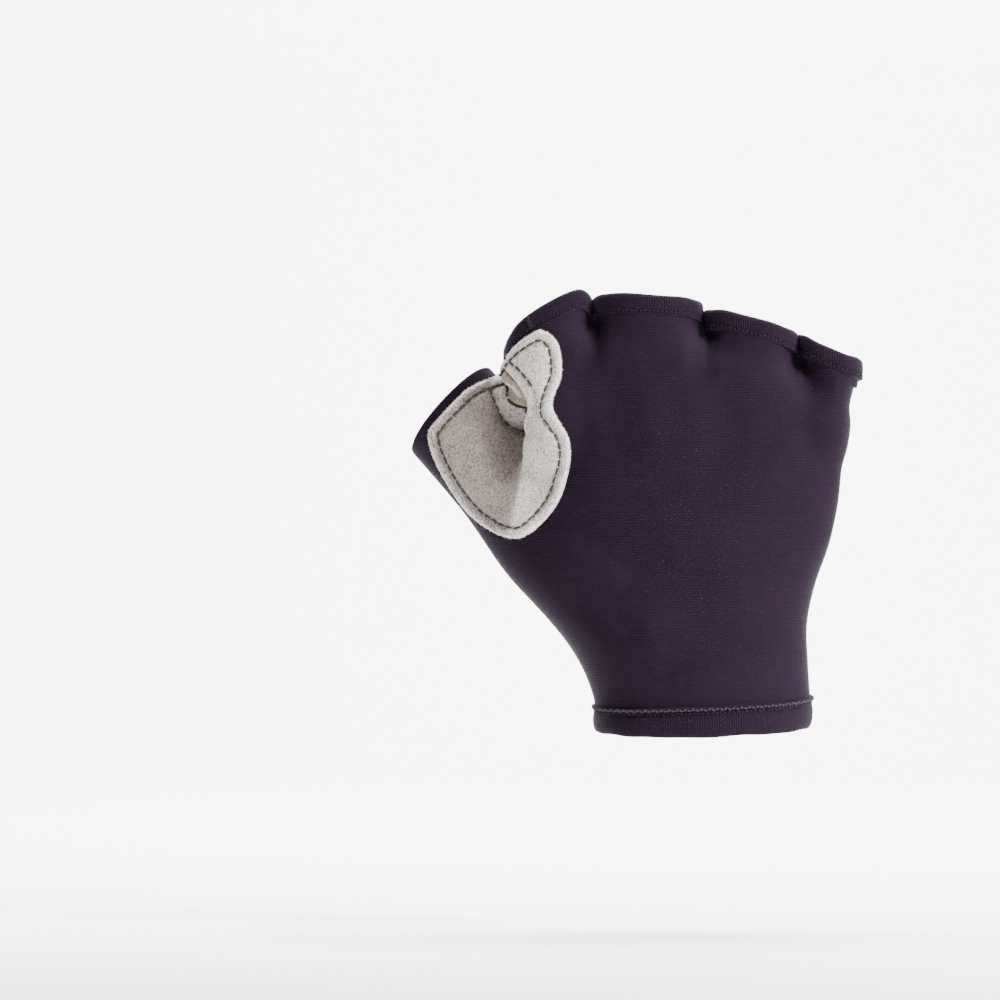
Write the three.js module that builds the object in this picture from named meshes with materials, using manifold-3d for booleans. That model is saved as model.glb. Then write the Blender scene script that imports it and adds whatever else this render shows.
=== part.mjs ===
// A fingerless impact glove for the right hand, filled out as it is when worn.
// +Z runs from the wrist to the fingers, +X to the little finger, +Y to the palm. The origin is in
// the middle of the wrist opening, level with its edge at the back of the hand. Lengths are in
// millimetres.
import * as THREE from "three";
import { mergeVertices } from "three/addons/utils/BufferGeometryUtils.js";
import Module from "manifold-3d";

const wasm = await Module();
wasm.setup();

// Driving sizes of the worn shape
const gloveHeight = 132.5; // wrist edge to the top of the middle finger's hem
const wristBreadth = 64.5;
const wristDepth = 44;
const knuckleBreadth = 107.4; // across the four finger openings
const knuckleDepth = 25;
const thumbBreadth = 34.4;
const thumbDepth = 25;
const thumbLength = 88.5; // along the thumb's axis, from the heel of the hand to its rim
const thumbLean = 39.6; // degrees from upright, towards the index side
const thumbSet = 15; // how far the thumb's end stands towards the palm
const rimLean = 47; // degrees from upright of the thumb opening's axis
const rimTip = 17; // degrees that the thumb opening turns away from the back of the hand
const wristRise = 2.4; // degrees that the wrist opening rises to the little finger's side
const wristDip = 4; // degrees that it falls to the back of the hand

// Driving sizes of the making
const knitWall = 1.2;
const suedeThickness = 1.4;
const padThickness = 2.4; // padding under the middle of the palm suede
const hemThickness = 2.4; // the knit turned in and stitched down
const hemPuff = 0.9; // how far the wrist hem stands out of the knit
const fingerHemHeight = 6;
const wristHemHeight = 8.6;
const fingerSlit = 0.9; // between neighbouring finger hems
const webDrop = 1.6; // from a finger hem down to the web between two fingers
const webRadius = 4;
const crotchRadius = 8;
const stitchMargin = 2.8; // the stitch line's distance inside the suede's cut edge
const pieceGap = 0.3;
const thumbMargin = 2; // bare knit between the suede and the thumb's rim
const skinStep = 5.6; // spacing of the facets

// Half sections of the hand at each height: index and little are shares of the breadth there, back
// and palm of the depth there.
const handSections = [
  { up: 0.0, index: 0.493, little: 0.5, back: 0.5, palm: 0.5 },
  { up: 0.07, index: 0.476, little: 0.481, back: 0.498, palm: 0.505 },
  { up: 0.16, index: 0.47, little: 0.446, back: 0.495, palm: 0.51 },
  { up: 0.25, index: 0.479, little: 0.419, back: 0.493, palm: 0.52 },
  { up: 0.34, index: 0.499, little: 0.429, back: 0.49, palm: 0.52 },
  { up: 0.43, index: 0.518, little: 0.459, back: 0.488, palm: 0.5 },
  { up: 0.52, index: 0.529, little: 0.469, back: 0.49, palm: 0.478 },
  { up: 0.61, index: 0.534, little: 0.463, back: 0.495, palm: 0.46 },
  { up: 0.73, index: 0.534, little: 0.458, back: 0.5, palm: 0.455 },
  { up: 0.84, index: 0.52, little: 0.448, back: 0.5, palm: 0.465 },
  { up: 1.0, index: 0.49, little: 0.424, back: 0.5, palm: 0.48 },
];

// The thumb along its axis: width and depth are shares of its breadth and depth, set of how far it
// stands towards the palm.
const thumbSections = [
  { up: 0.0, width: 1.02, depth: 1.42, set: 0.1 },
  { up: 0.25, width: 1.03, depth: 1.38, set: 0.25 },
  { up: 0.45, width: 1.08, depth: 1.26, set: 0.42 },
  { up: 0.7, width: 0.98, depth: 1.08, set: 0.72 },
  { up: 1.0, width: 1.0, depth: 1.0, set: 1.0 },
];

// The finger openings from the index side: width is a share of the knuckle breadth, depth of the
// knuckle depth, start, end and crown of the glove's height. The rim runs from start to end and
// crowns between them. Lean is how far the outer edge spreads, as a share of the knuckle breadth.
const fingerRows = [
  { name: "index", width: 0.246, depth: 0.96, start: 0.879, end: 0.991, crown: 0.046, lean: -0.072 },
  { name: "middle", width: 0.31, depth: 1.0, start: 0.991, end: 0.962, crown: 0.019, lean: 0 },
  { name: "ring", width: 0.266, depth: 0.96, start: 0.962, end: 0.907, crown: 0.011, lean: 0 },
  { name: "little", width: 0.178, depth: 0.86, start: 0.907, end: 0.849, crown: 0.005, lean: 0.034 },
];

const indexEdgeShare = 0.553; // of the knuckle breadth that lies on the index side of the origin
const leanFoot = 0.72; // share of the height where the outer fingers start to spread
const leanTop = 0.86;
const domeHeight = 14; // rounded top of the hand between the fingers
const sectionPower = 2.3; // roundness of the hand's sections: 2 is an ellipse
const fingerPower = 2.5;
const thumbPower = 2.1;
const overrun = 6; // how far the uncut skin runs past each rim

const mix = THREE.MathUtils.lerp;

// The value of a table's column at a share of the way up, on a smooth curve through its rows.
function along(rows, column, up) {
  const last = rows.length - 1;
  if (up <= rows[0].up) return rows[0][column];
  if (up >= rows[last].up) return rows[last][column];
  const i = rows.findIndex((row) => row.up > up) - 1;
  const span = rows[i + 1].up - rows[i].up;
  const t = (up - rows[i].up) / span;
  const slope = (k) => {
    const low = rows[Math.max(k - 1, 0)];
    const high = rows[Math.min(k + 1, last)];
    return ((high[column] - low[column]) / (high.up - low.up)) * span;
  };
  const [a, b] = [rows[i][column], rows[i + 1][column]];
  const [p, q] = [slope(i), slope(i + 1)];
  return a + t * (p + t * (3 * (b - a) - 2 * p - q + t * (2 * (a - b) + p + q)));
}

// Distance out of a rounded solid of the given half sizes, true to first order at its surface.
function outOf(offsets, halves, power) {
  const parts = offsets.map((offset, i) => Math.abs(offset) / halves[i]);
  const sum = parts.reduce((total, part) => total + part ** power, 0);
  const size = Math.max(sum ** (1 / power), 1e-6);
  const slope = Math.hypot(...parts.map((part, i) => (part / size) ** (power - 1) / halves[i]));
  return (size - 1) / slope;
}

// The smaller of two distances, with the corner between them filled to a radius.
function filled(a, b, radius) {
  const near = Math.max(radius - Math.abs(a - b), 0);
  return Math.min(a, b) - (near * near) / (4 * radius);
}

// Finger openings in the front view
const fingers = [];
let fingerStart = -indexEdgeShare * knuckleBreadth;
for (const row of fingerRows) {
  const width = row.width * knuckleBreadth;
  fingers.push({
    name: row.name,
    left: fingerStart,
    right: fingerStart + width,
    depth: (row.depth * knuckleDepth) / 2,
    start: row.start * gloveHeight,
    end: row.end * gloveHeight,
    crown: row.crown * gloveHeight,
    lean: row.lean * knuckleBreadth,
  });
  fingerStart += width;
}

// Height of the finger openings' rim over a place across the hand.
function rimHeight(x) {
  const finger = fingers.find((each) => x < each.right) ?? fingers[fingers.length - 1];
  const t = THREE.MathUtils.clamp((x - finger.left) / (finger.right - finger.left), 0, 1);
  return mix(finger.start, finger.end, t) + finger.crown * 4 * t * (1 - t);
}

// Centre and half width of a finger's tube at a height, with its outer edge spreading upwards.
function fingerSpan(finger, z) {
  const low = leanFoot * gloveHeight;
  const high = leanTop * gloveHeight;
  const pulled = finger.lean * (1 - THREE.MathUtils.smoothstep(z, low, high));
  const left = finger.left + fingerSlit / 2 - (finger.lean < 0 ? pulled : 0);
  const right = finger.right - fingerSlit / 2 - (finger.lean > 0 ? pulled : 0);
  return { centre: (left + right) / 2, half: (right - left) / 2 };
}

function fingerDistance(finger, x, y, z) {
  const { centre, half } = fingerSpan(finger, z);
  const below = Math.max(leanFoot * gloveHeight - z, 0);
  return outOf([x - centre, y, below], [half, finger.depth, domeHeight], fingerPower);
}

function handDistance(x, y, z) {
  const up = z / gloveHeight;
  const share = THREE.MathUtils.clamp(up, 0, 1);
  const breadth = mix(wristBreadth, knuckleBreadth, share);
  const depth = mix(wristDepth, knuckleDepth, share);
  const left = -along(handSections, "index", up) * breadth;
  const right = along(handSections, "little", up) * breadth;
  const back = -along(handSections, "back", up) * depth;
  const palm = along(handSections, "palm", up) * depth;
  const domeFoot = rimHeight(x) - fingerHemHeight - webDrop - domeHeight;
  return outOf(
    [x - (left + right) / 2, y - (back + palm) / 2, Math.max(z - domeFoot, 0)],
    [(right - left) / 2, (palm - back) / 2, domeHeight],
    sectionPower,
  );
}

// The thumb's axis starts so that its outer side leaves the wrist's index side in one line.
const lean = THREE.MathUtils.degToRad(thumbLean);
const thumbAxis = new THREE.Vector3(-Math.sin(lean), 0, Math.cos(lean));
const thumbAcross = new THREE.Vector3(Math.cos(lean), 0, Math.sin(lean));
const heelHeight = 0.14 * gloveHeight;
const thumbFoot = new THREE.Vector3(-wristBreadth / 2, 0, heelHeight)
  .addScaledVector(thumbAcross, thumbBreadth / 2);
const thumbRim = thumbFoot.clone().addScaledVector(thumbAxis, thumbLength);
thumbRim.y = thumbSet;

function thumbDistance(x, y, z) {
  const from = new THREE.Vector3(x, 0, z).sub(thumbFoot);
  const run = from.dot(thumbAxis);
  const up = THREE.MathUtils.clamp(run / thumbLength, 0, 1);
  const width = (along(thumbSections, "width", up) * thumbBreadth) / 2;
  const depth = (along(thumbSections, "depth", up) * thumbDepth) / 2;
  const set = along(thumbSections, "set", up) * thumbSet;
  const tube = outOf(
    [from.dot(thumbAcross), y - set, Math.min(run, 0)],
    [width, depth, width],
    thumbPower,
  );
  return Math.max(tube, run - thumbLength - overrun);
}

// The hand and thumb without fingers, which the hollow follows, and the whole worn shape.
function palmForm(x, y, z) {
  return filled(handDistance(x, y, z), thumbDistance(x, y, z), crotchRadius);
}

function gloveForm(x, y, z) {
  const hand = fingers.reduce(
    (near, finger) => filled(near, fingerDistance(finger, x, y, z), webRadius),
    handDistance(x, y, z),
  );
  const whole = filled(hand, thumbDistance(x, y, z), crotchRadius);
  return Math.max(whole, z - gloveHeight - overrun, -z - overrun);
}

// How fast a distance changes, by small steps each way.
function slopeOf(distance, point) {
  const step = 0.05;
  return new THREE.Vector3(
    distance(point.x + step, point.y, point.z) - distance(point.x - step, point.y, point.z),
    distance(point.x, point.y + step, point.z) - distance(point.x, point.y - step, point.z),
    distance(point.x, point.y, point.z + step) - distance(point.x, point.y, point.z - step),
  ).divideScalar(2 * step);
}

// A skin over the places where a distance is zero: one vertex in each grid cell that the surface
// crosses, evened out and drawn onto the surface, and a quad round each grid edge that it crosses.
function skinOf(distance) {
  const low = new THREE.Vector3(thumbRim.x - thumbBreadth - overrun, -wristDepth, -3 * overrun);
  const high = new THREE.Vector3(knuckleBreadth / 2 + 2 * overrun, wristDepth, gloveHeight + 2 * overrun);
  const cells = high.clone().sub(low).divideScalar(skinStep).ceil();
  const [nx, ny, nz] = [cells.x + 1, cells.y + 1, cells.z + 1];
  const at = (i, j, k) => (i * ny + j) * nz + k;
  const inside = new Uint8Array(nx * ny * nz);
  for (let i = 0; i < nx; i++)
    for (let j = 0; j < ny; j++)
      for (let k = 0; k < nz; k++)
        inside[at(i, j, k)] = distance(
          low.x + i * skinStep,
          low.y + j * skinStep,
          low.z + k * skinStep,
        ) < 0 ? 1 : 0;

  // Where two filled corners of a grid square face each other across two empty ones, the empty ones
  // are filled too, so that no edge of the skin is shared by more than two of its quads.
  const steps = [[1, 0, 0], [0, 1, 0], [0, 0, 1]];
  for (let changed = true; changed; ) {
    changed = false;
    for (let i = 0; i < nx - 1; i++)
      for (let j = 0; j < ny - 1; j++)
        for (let k = 0; k < nz - 1; k++)
          steps.forEach((p, axis) => {
            const q = steps[(axis + 1) % 3];
            const square = [
              at(i, j, k),
              at(i + p[0], j + p[1], k + p[2]),
              at(i + p[0] + q[0], j + p[1] + q[1], k + p[2] + q[2]),
              at(i + q[0], j + q[1], k + q[2]),
            ];
            const [a, b, c, d] = square.map((corner) => inside[corner]);
            if (a !== c || b !== d || a === b) return;
            square.forEach((corner) => (inside[corner] = 1));
            changed = true;
          });
  }

  const vertices = [];
  const vertexOf = new Map();
  const vertexAt = (i, j, k) => {
    const key = at(i, j, k);
    if (!vertexOf.has(key)) {
      vertexOf.set(key, vertices.length);
      const centre = new THREE.Vector3(i + 0.5, j + 0.5, k + 0.5);
      vertices.push(centre.multiplyScalar(skinStep).add(low));
    }
    return vertexOf.get(key);
  };
  const quads = [];
  for (let i = 1; i < nx - 1; i++)
    for (let j = 1; j < ny - 1; j++)
      for (let k = 1; k < nz - 1; k++)
        steps.forEach((step, axis) => {
          const here = inside[at(i, j, k)];
          if (here === inside[at(i + step[0], j + step[1], k + step[2])]) return;
          const [p, q] = [steps[(axis + 1) % 3], steps[(axis + 2) % 3]];
          const corner = (a, b) =>
            vertexAt(i - a * p[0] - b * q[0], j - a * p[1] - b * q[1], k - a * p[2] - b * q[2]);
          const quad = [corner(0, 0), corner(1, 0), corner(1, 1), corner(0, 1)];
          quads.push(here ? quad : quad.reverse());
        });

  const settle = () => {
    for (const vertex of vertices) {
      const slope = slopeOf(distance, vertex);
      const away = distance(vertex.x, vertex.y, vertex.z);
      vertex.addScaledVector(slope, -away / Math.max(slope.lengthSq(), 0.2));
    }
  };
  const even = () => {
    const sums = vertices.map(() => new THREE.Vector3());
    const counts = new Float64Array(vertices.length);
    for (const quad of quads)
      quad.forEach((v, n) => {
        sums[v].add(vertices[quad[(n + 1) % 4]]);
        counts[v] += 1;
      });
    vertices.forEach((vertex, v) => vertex.lerp(sums[v].divideScalar(counts[v]), 0.7));
  };
  for (let round = 0; round < 4; round++) {
    even();
    settle();
    settle();
  }
  const normals = vertices.map((vertex) => slopeOf(distance, vertex).normalize());
  const length = (a, b) => vertices[a].distanceTo(vertices[b]);
  const triangles = quads.flatMap(([a, b, c, d]) =>
    length(a, c) < length(b, d) ? [[a, b, c], [a, c, d]] : [[a, b, d], [b, c, d]]);
  return { vertices, normals, triangles };
}

// A manifold solid from loose points and triangles.
function solid(points, triangles) {
  return new wasm.Manifold(
    new wasm.Mesh({
      numProp: 3,
      vertProperties: new Float32Array(points.flatMap((point) => [point.x, point.y, point.z])),
      triVerts: new Uint32Array(triangles.flat()),
    }),
  );
}

// The solid inside a skin that is moved out along its normals by an amount that may vary.
function swollen(skin, amount) {
  const moved = skin.vertices.map((vertex, v) =>
    vertex.clone().addScaledVector(skin.normals[v], amount(vertex)));
  return solid(moved, skin.triangles);
}

// A solid from a three.js geometry.
function solidOf(geometry) {
  const bare = geometry.index ? geometry.toNonIndexed() : geometry.clone();
  bare.deleteAttribute("normal");
  bare.deleteAttribute("uv");
  const merged = mergeVertices(bare, 1e-4);
  return new wasm.Manifold(
    new wasm.Mesh({
      numProp: 3,
      vertProperties: merged.attributes.position.array,
      triVerts: new Uint32Array(merged.index.array),
    }),
  );
}

// A block that follows an outline of the front view and runs through the glove from back to palm.
function through(points) {
  const reach = 2 * wristDepth;
  const geometry = new THREE.ExtrudeGeometry(new THREE.Shape(points), {
    depth: 2 * reach,
    bevelEnabled: false,
  });
  geometry.translate(0, 0, -reach).rotateX(Math.PI / 2);
  return solidOf(geometry);
}

// A ring of points round a rounded section, its half sizes grown by an amount.
function sectionRing(centre, half, depth, grow, count, power) {
  return Array.from({ length: count }, (_, n) => {
    const angle = (2 * Math.PI * n) / count;
    const [c, s] = [Math.cos(angle), Math.sin(angle)];
    return new THREE.Vector2(
      centre + (half + grow) * Math.sign(c) * Math.abs(c) ** (2 / power),
      (depth + grow) * Math.sign(s) * Math.abs(s) ** (2 / power),
    );
  });
}

// A closed solid through rings of points, in order, that closes on its first ring or at its ends.
function lofted(rings, closesOnFirst) {
  const count = rings[0].length;
  const triangles = [];
  const bands = closesOnFirst ? rings.length : rings.length - 1;
  for (let r = 0; r < bands; r++)
    for (let n = 0; n < count; n++) {
      const [a, b] = [r * count + n, r * count + ((n + 1) % count)];
      const next = ((r + 1) % rings.length) * count;
      const [c, d] = [next + ((n + 1) % count), next + n];
      triangles.push([a, b, c], [a, c, d]);
    }
  const points = rings.flat();
  if (!closesOnFirst)
    [0, rings.length - 1].forEach((r, end) => {
      const middle = rings[r].reduce((sum, p) => sum.add(p), new THREE.Vector3());
      points.push(middle.divideScalar(count));
      for (let n = 0; n < count; n++) {
        const edge = [r * count + n, r * count + ((n + 1) % count)];
        triangles.push([points.length - 1, ...(end ? edge : edge.reverse())]);
      }
    });
  return solid(points, triangles);
}

// One finger's hem: the knit turned in, a rounded fold at the rim and a flat stitched foot.
const hemSides = 28;
function fingerHem(finger) {
  const profile = [
    { grow: 0, down: fingerHemHeight },
    { grow: 0, down: 0.15 * fingerHemHeight },
    { grow: -0.3 * hemThickness, down: 0 },
    { grow: -0.7 * hemThickness, down: 0 },
    { grow: -hemThickness, down: 0.15 * fingerHemHeight },
    { grow: -hemThickness, down: fingerHemHeight },
  ];
  const { centre, half } = fingerSpan(finger, gloveHeight);
  const rings = profile.map(({ grow, down }) =>
    sectionRing(centre, half, finger.depth, grow, hemSides, fingerPower)
      .map((p) => new THREE.Vector3(p.x, p.y, rimHeight(p.x) - down)));
  return lofted(rings, true);
}

// The hollow of one finger, from inside the hand to past its rim.
function fingerHollow(finger) {
  const heights = [leanFoot * gloveHeight, 0.5 * (leanFoot + leanTop) * gloveHeight,
    leanTop * gloveHeight, gloveHeight + 2 * overrun];
  const rings = heights.map((z) => {
    const { centre, half } = fingerSpan(finger, z);
    return sectionRing(centre, half, finger.depth, -knitWall, hemSides, fingerPower)
      .map((p) => new THREE.Vector3(p.x, p.y, z));
  });
  return lofted(rings, false);
}

// How far the wrist's slanting edge lies above the origin at a place in its section.
function wristLevel(x, y) {
  return x * Math.tan(THREE.MathUtils.degToRad(wristRise))
    + (y + wristDepth / 2) * Math.tan(THREE.MathUtils.degToRad(wristDip));
}

// The wrist hem: a puffy turned band that stands a little out of the knit.
const wristSides = 40;
function wristHem() {
  const profile = [
    { grow: 0.15 * hemPuff, up: 1 },
    { grow: -hemThickness + hemPuff, up: 1 },
    { grow: -hemThickness + hemPuff, up: 0.12 },
    { grow: -0.6 * hemThickness + hemPuff, up: 0 },
    { grow: 0.3 * hemPuff, up: 0 },
    { grow: hemPuff, up: 0.16 },
    { grow: hemPuff, up: 0.76 },
  ];
  const rings = profile.map(({ grow, up }) => {
    const z = up * wristHemHeight;
    const left = along(handSections, "index", z / gloveHeight) * wristBreadth;
    const right = along(handSections, "little", z / gloveHeight) * wristBreadth;
    const centre = (right - left) / 2;
    return sectionRing(centre, (left + right) / 2, wristDepth / 2, grow, wristSides, sectionPower)
      .map((p) => new THREE.Vector3(p.x, p.y, z + wristLevel(p.x, p.y)));
  });
  return lofted(rings, true);
}

// What lies above the knit's top edge, under the finger hems.
function aboveFingers(drop) {
  const left = fingers[0].left - 2;
  const right = fingers[fingers.length - 1].right + overrun;
  const count = 90;
  const edge = Array.from({ length: count + 1 }, (_, n) => {
    const x = mix(left, right, n / count);
    return new THREE.Vector2(x, rimHeight(x) - drop);
  });
  const top = gloveHeight + 3 * overrun;
  return through([...edge, new THREE.Vector2(right, top), new THREE.Vector2(left, top)]);
}

// What lies past the thumb's rim, from a margin inside it.
function pastThumb(margin) {
  const reach = thumbBreadth;
  const box = new THREE.BoxGeometry(1.3 * thumbBreadth, 3 * thumbDepth, reach);
  box.translate(0, 0, reach / 2 - margin);
  box.rotateX(-THREE.MathUtils.degToRad(rimTip)).rotateY(-THREE.MathUtils.degToRad(rimLean));
  box.translate(thumbRim.x, thumbRim.y, thumbRim.z);
  return solidOf(box);
}

// What lies below a height over the wrist's slanting edge.
function belowWrist(height) {
  const box = new THREE.BoxGeometry(2 * knuckleBreadth, 3 * wristDepth, gloveHeight);
  box.translate(0, 0, height - gloveHeight / 2);
  const corners = box.getAttribute("position");
  for (let n = 0; n < corners.count; n++)
    corners.setZ(n, corners.getZ(n) + wristLevel(corners.getX(n), corners.getY(n)));
  return solidOf(box);
}

// The knit shell: one skin outside, the hand's hollow and the fingers' hollows inside.
const outerSkin = skinOf(gloveForm);
const hollowSkin = skinOf((x, y, z) =>
  Math.max(palmForm(x, y, z), -z - 1.5 * overrun));
const knit = fingers.reduce(
  (shell, finger) => shell.subtract(fingerHollow(finger)),
  swollen(outerSkin, () => 0).subtract(swollen(hollowSkin, () => -knitWall)),
)
  .subtract(aboveFingers(fingerHemHeight + pieceGap))
  .subtract(pastThumb(0))
  .subtract(belowWrist(wristHemHeight + pieceGap));

// Suede outlines in the front view, seen from the back: across is a share of the knuckle breadth
// and up of the glove's height, both from the origin.
const palmOutline = [
  { across: -0.772, up: 0.653 },
  { across: -0.655, up: 0.506 },
  { across: -0.535, up: 0.374 },
  { across: -0.448, up: 0.297 },
  { across: -0.32, up: 0.232 },
  { across: -0.18, up: 0.19 },
  { across: 0.0, up: 0.168 },
  { across: 0.165, up: 0.184 },
  { across: 0.283, up: 0.27 },
  { across: 0.342, up: 0.42 },
  { across: 0.338, up: 0.59 },
  { across: 0.272, up: 0.73 },
  { across: 0.14, up: 0.842 },
  { across: -0.02, up: 0.903 },
  { across: -0.19, up: 0.93 },
  { across: -0.35, up: 0.928 },
  { across: -0.47, up: 0.89 },
  { across: -0.57, up: 0.826 },
];
const webOutline = [
  { across: -0.565, up: 0.853 },
  { across: -0.52, up: 0.89 },
  { across: -0.458, up: 0.915 },
  { across: -0.406, up: 0.886 },
  { across: -0.394, up: 0.815 },
  { across: -0.418, up: 0.743 },
  { across: -0.372, up: 0.666 },
  { across: -0.375, up: 0.588 },
  { across: -0.416, up: 0.508 },
  { across: -0.511, up: 0.446 },
  { across: -0.623, up: 0.486 },
  { across: -0.708, up: 0.573 },
  { across: -0.76, up: 0.667 },
  { across: -0.742, up: 0.733 },
  { across: -0.673, up: 0.783 },
  { across: -0.59, up: 0.817 },
];

function outlineOf(rows) {
  const points = rows.map((row) =>
    new THREE.Vector2(row.across * knuckleBreadth, row.up * gloveHeight));
  return new THREE.SplineCurve(points).getPoints(3 * rows.length);
}

// The seam between the two suedes runs down the index side, over the crotch and up the thumb. It
// follows the V between them: on the index side it lies at the middle of the hand's depth, on the
// thumb at the middle of the thumb's.
const seamLean = 32; // degrees from upright of the V's middle line
const crotchPoint = new THREE.Vector3(-0.478 * knuckleBreadth, 0, 0.722 * gloveHeight);
const seamRamp = 3;
function backOfSeam(shift) {
  const far = knuckleBreadth;
  const shape = new THREE.Shape([
    new THREE.Vector2(-far, -far),
    new THREE.Vector2(far, -far),
    new THREE.Vector2(far, shift),
    new THREE.Vector2(seamRamp, shift),
    new THREE.Vector2(-seamRamp, thumbSet + shift),
    new THREE.Vector2(-far, thumbSet + shift),
  ]);
  const geometry = new THREE.ExtrudeGeometry(shape, { depth: 3 * gloveHeight, bevelEnabled: false });
  geometry.translate(0, 0, -1.5 * gloveHeight);
  geometry.rotateY(-THREE.MathUtils.degToRad(seamLean));
  geometry.translate(crotchPoint.x, crotchPoint.y, crotchPoint.z);
  return solidOf(geometry);
}

// How far a place lies inside an outline, negative outside.
function depthInside(outline, x, z) {
  let nearest = Infinity;
  let crossings = 0;
  outline.forEach((a, n) => {
    const b = outline[(n + 1) % outline.length];
    const run = b.clone().sub(a);
    const t = THREE.MathUtils.clamp(
      ((x - a.x) * run.x + (z - a.y) * run.y) / Math.max(run.lengthSq(), 1e-9), 0, 1);
    nearest = Math.min(nearest, Math.hypot(a.x + t * run.x - x, a.y + t * run.y - z));
    if ((a.y > z) !== (b.y > z) && x < a.x + ((z - a.y) * run.x) / run.y) crossings += 1;
  });
  return crossings % 2 ? nearest : -nearest;
}

// Suede laid on the knit, with padding that swells it inside its stitch line.
const padRamp = 7;
function suede(outline, padding) {
  const thickness = (at) => {
    const inside = depthInside(outline, at.x, at.z);
    const swell = THREE.MathUtils.smoothstep(inside, stitchMargin, stitchMargin + padRamp);
    return pieceGap + suedeThickness + padding(at) * swell;
  };
  return swollen(outerSkin, thickness)
    .subtract(swollen(outerSkin, () => pieceGap))
    .subtract(swollen(outerSkin, () => pieceGap / 2))
    .subtract(swollen(outerSkin, () => 0))
    .intersect(through(outline))
    .subtract(aboveFingers(fingerHemHeight + 2 * pieceGap))
    .subtract(pastThumb(thumbMargin));
}

// The main body of a cut shape, without the crumbs beside its edges.
function mainBody(shape) {
  return shape.decompose().reduce((most, body) => (body.volume() > most.volume() ? body : most));
}

const palmEdge = outlineOf(palmOutline);
const webEdge = outlineOf(webOutline);
const palmPadding = (at) =>
  padThickness * THREE.MathUtils.smoothstep(at.x, crotchPoint.x, crotchPoint.x + 3 * padRamp);
const palmSuede = suede(palmEdge, palmPadding).subtract(backOfSeam(pieceGap));
const webSuede = suede(webEdge, () => 0).intersect(backOfSeam(0));

const knitCloth = { color: 0x2a2030, roughness: 0.85, metalness: 0 };
const splitSuede = { color: 0xcdc4ba, roughness: 0.95, metalness: 0 };

function meshOf(name, shape, finish) {
  const mesh = shape.getMesh();
  const geometry = new THREE.BufferGeometry();
  geometry.setAttribute("position", new THREE.BufferAttribute(mesh.vertProperties, 3));
  geometry.setIndex(new THREE.BufferAttribute(mesh.triVerts, 1));
  const piece = new THREE.Mesh(geometry, new THREE.MeshStandardMaterial(finish));
  piece.name = name;
  return piece;
}

const group = new THREE.Group();
group.add(meshOf("knit_shell", mainBody(knit), knitCloth));
group.add(meshOf("wrist_hem", wristHem(), knitCloth));
for (const finger of fingers)
  group.add(meshOf(`${finger.name}_hem`, fingerHem(finger), knitCloth));
group.add(meshOf("palm_suede", mainBody(palmSuede), splitSuede));
group.add(meshOf("web_suede", mainBody(webSuede), splitSuede));

export default group;
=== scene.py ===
import bpy
import numpy as np
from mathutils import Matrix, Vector


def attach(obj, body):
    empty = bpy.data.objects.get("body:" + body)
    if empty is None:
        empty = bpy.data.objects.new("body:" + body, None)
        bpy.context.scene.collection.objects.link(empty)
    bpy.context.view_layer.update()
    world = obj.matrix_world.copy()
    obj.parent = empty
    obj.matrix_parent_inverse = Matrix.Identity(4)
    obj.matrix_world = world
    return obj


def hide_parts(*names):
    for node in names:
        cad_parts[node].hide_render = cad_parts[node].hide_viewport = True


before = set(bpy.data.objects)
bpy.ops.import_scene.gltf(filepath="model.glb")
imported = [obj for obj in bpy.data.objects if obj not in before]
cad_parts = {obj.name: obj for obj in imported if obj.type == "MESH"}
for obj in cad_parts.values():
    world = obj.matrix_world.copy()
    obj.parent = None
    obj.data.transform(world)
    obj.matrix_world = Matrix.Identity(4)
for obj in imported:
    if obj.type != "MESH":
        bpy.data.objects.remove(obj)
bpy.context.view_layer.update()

# Knit shell
# One ply of nylon and stretch yarn that a hand fills out: a tube from the wrist to the knuckles, four
# short fingers and a thumb. Its edges are turned in as hems, except the thumb's, which is rolled.
glove_height = 0.1325
wrist_breadth = 0.0645
wrist_depth = 0.044
knuckle_breadth = 0.1074
knuckle_depth = 0.025
thumb_breadth = 0.0344
thumb_depth = 0.025
thumb_length = 0.0885
thumb_lean = np.radians(39.6)
thumb_set = 0.015
rim_lean = np.radians(47)
rim_tip = np.radians(17)
wrist_rise = np.radians(2.4)
wrist_dip = np.radians(4)
knit_wall = 0.0012
finger_hem_height = 0.006
wrist_hem_height = 0.0086
finger_slit = 0.0009
web_drop = 0.0016
web_radius = 0.0036
crotch_radius = 0.008
overrun = 0.006
dome_height = 0.014
hand_power = 2.3
finger_power = 2.5
thumb_power = 2.1
index_edge_share = 0.553
skin_pitch = 0.00105
hem_lap = 0.0009
roll_radius = 0.0009

# Half sections of the hand: shares of the breadth and the depth at that share of the height.
hand_sections = {
    "up": [0.0, 0.07, 0.16, 0.25, 0.34, 0.43, 0.52, 0.61, 0.73, 0.84, 1.0],
    "index": [0.493, 0.476, 0.47, 0.479, 0.499, 0.518, 0.529, 0.534, 0.534, 0.52, 0.49],
    "little": [0.5, 0.481, 0.446, 0.419, 0.429, 0.459, 0.469, 0.463, 0.458, 0.448, 0.424],
    "back": [0.5, 0.498, 0.495, 0.493, 0.49, 0.488, 0.49, 0.495, 0.5, 0.5, 0.5],
    "palm": [0.5, 0.505, 0.51, 0.52, 0.52, 0.5, 0.478, 0.46, 0.455, 0.465, 0.48],
}

# The thumb along its axis: shares of its breadth and depth, and of how far it stands to the palm.
thumb_sections = {
    "up": [0.0, 0.25, 0.45, 0.7, 1.0],
    "width": [1.02, 1.03, 1.08, 0.98, 1.0],
    "depth": [1.42, 1.38, 1.26, 1.08, 1.0],
    "set": [0.1, 0.25, 0.42, 0.72, 1.0],
}

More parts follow.
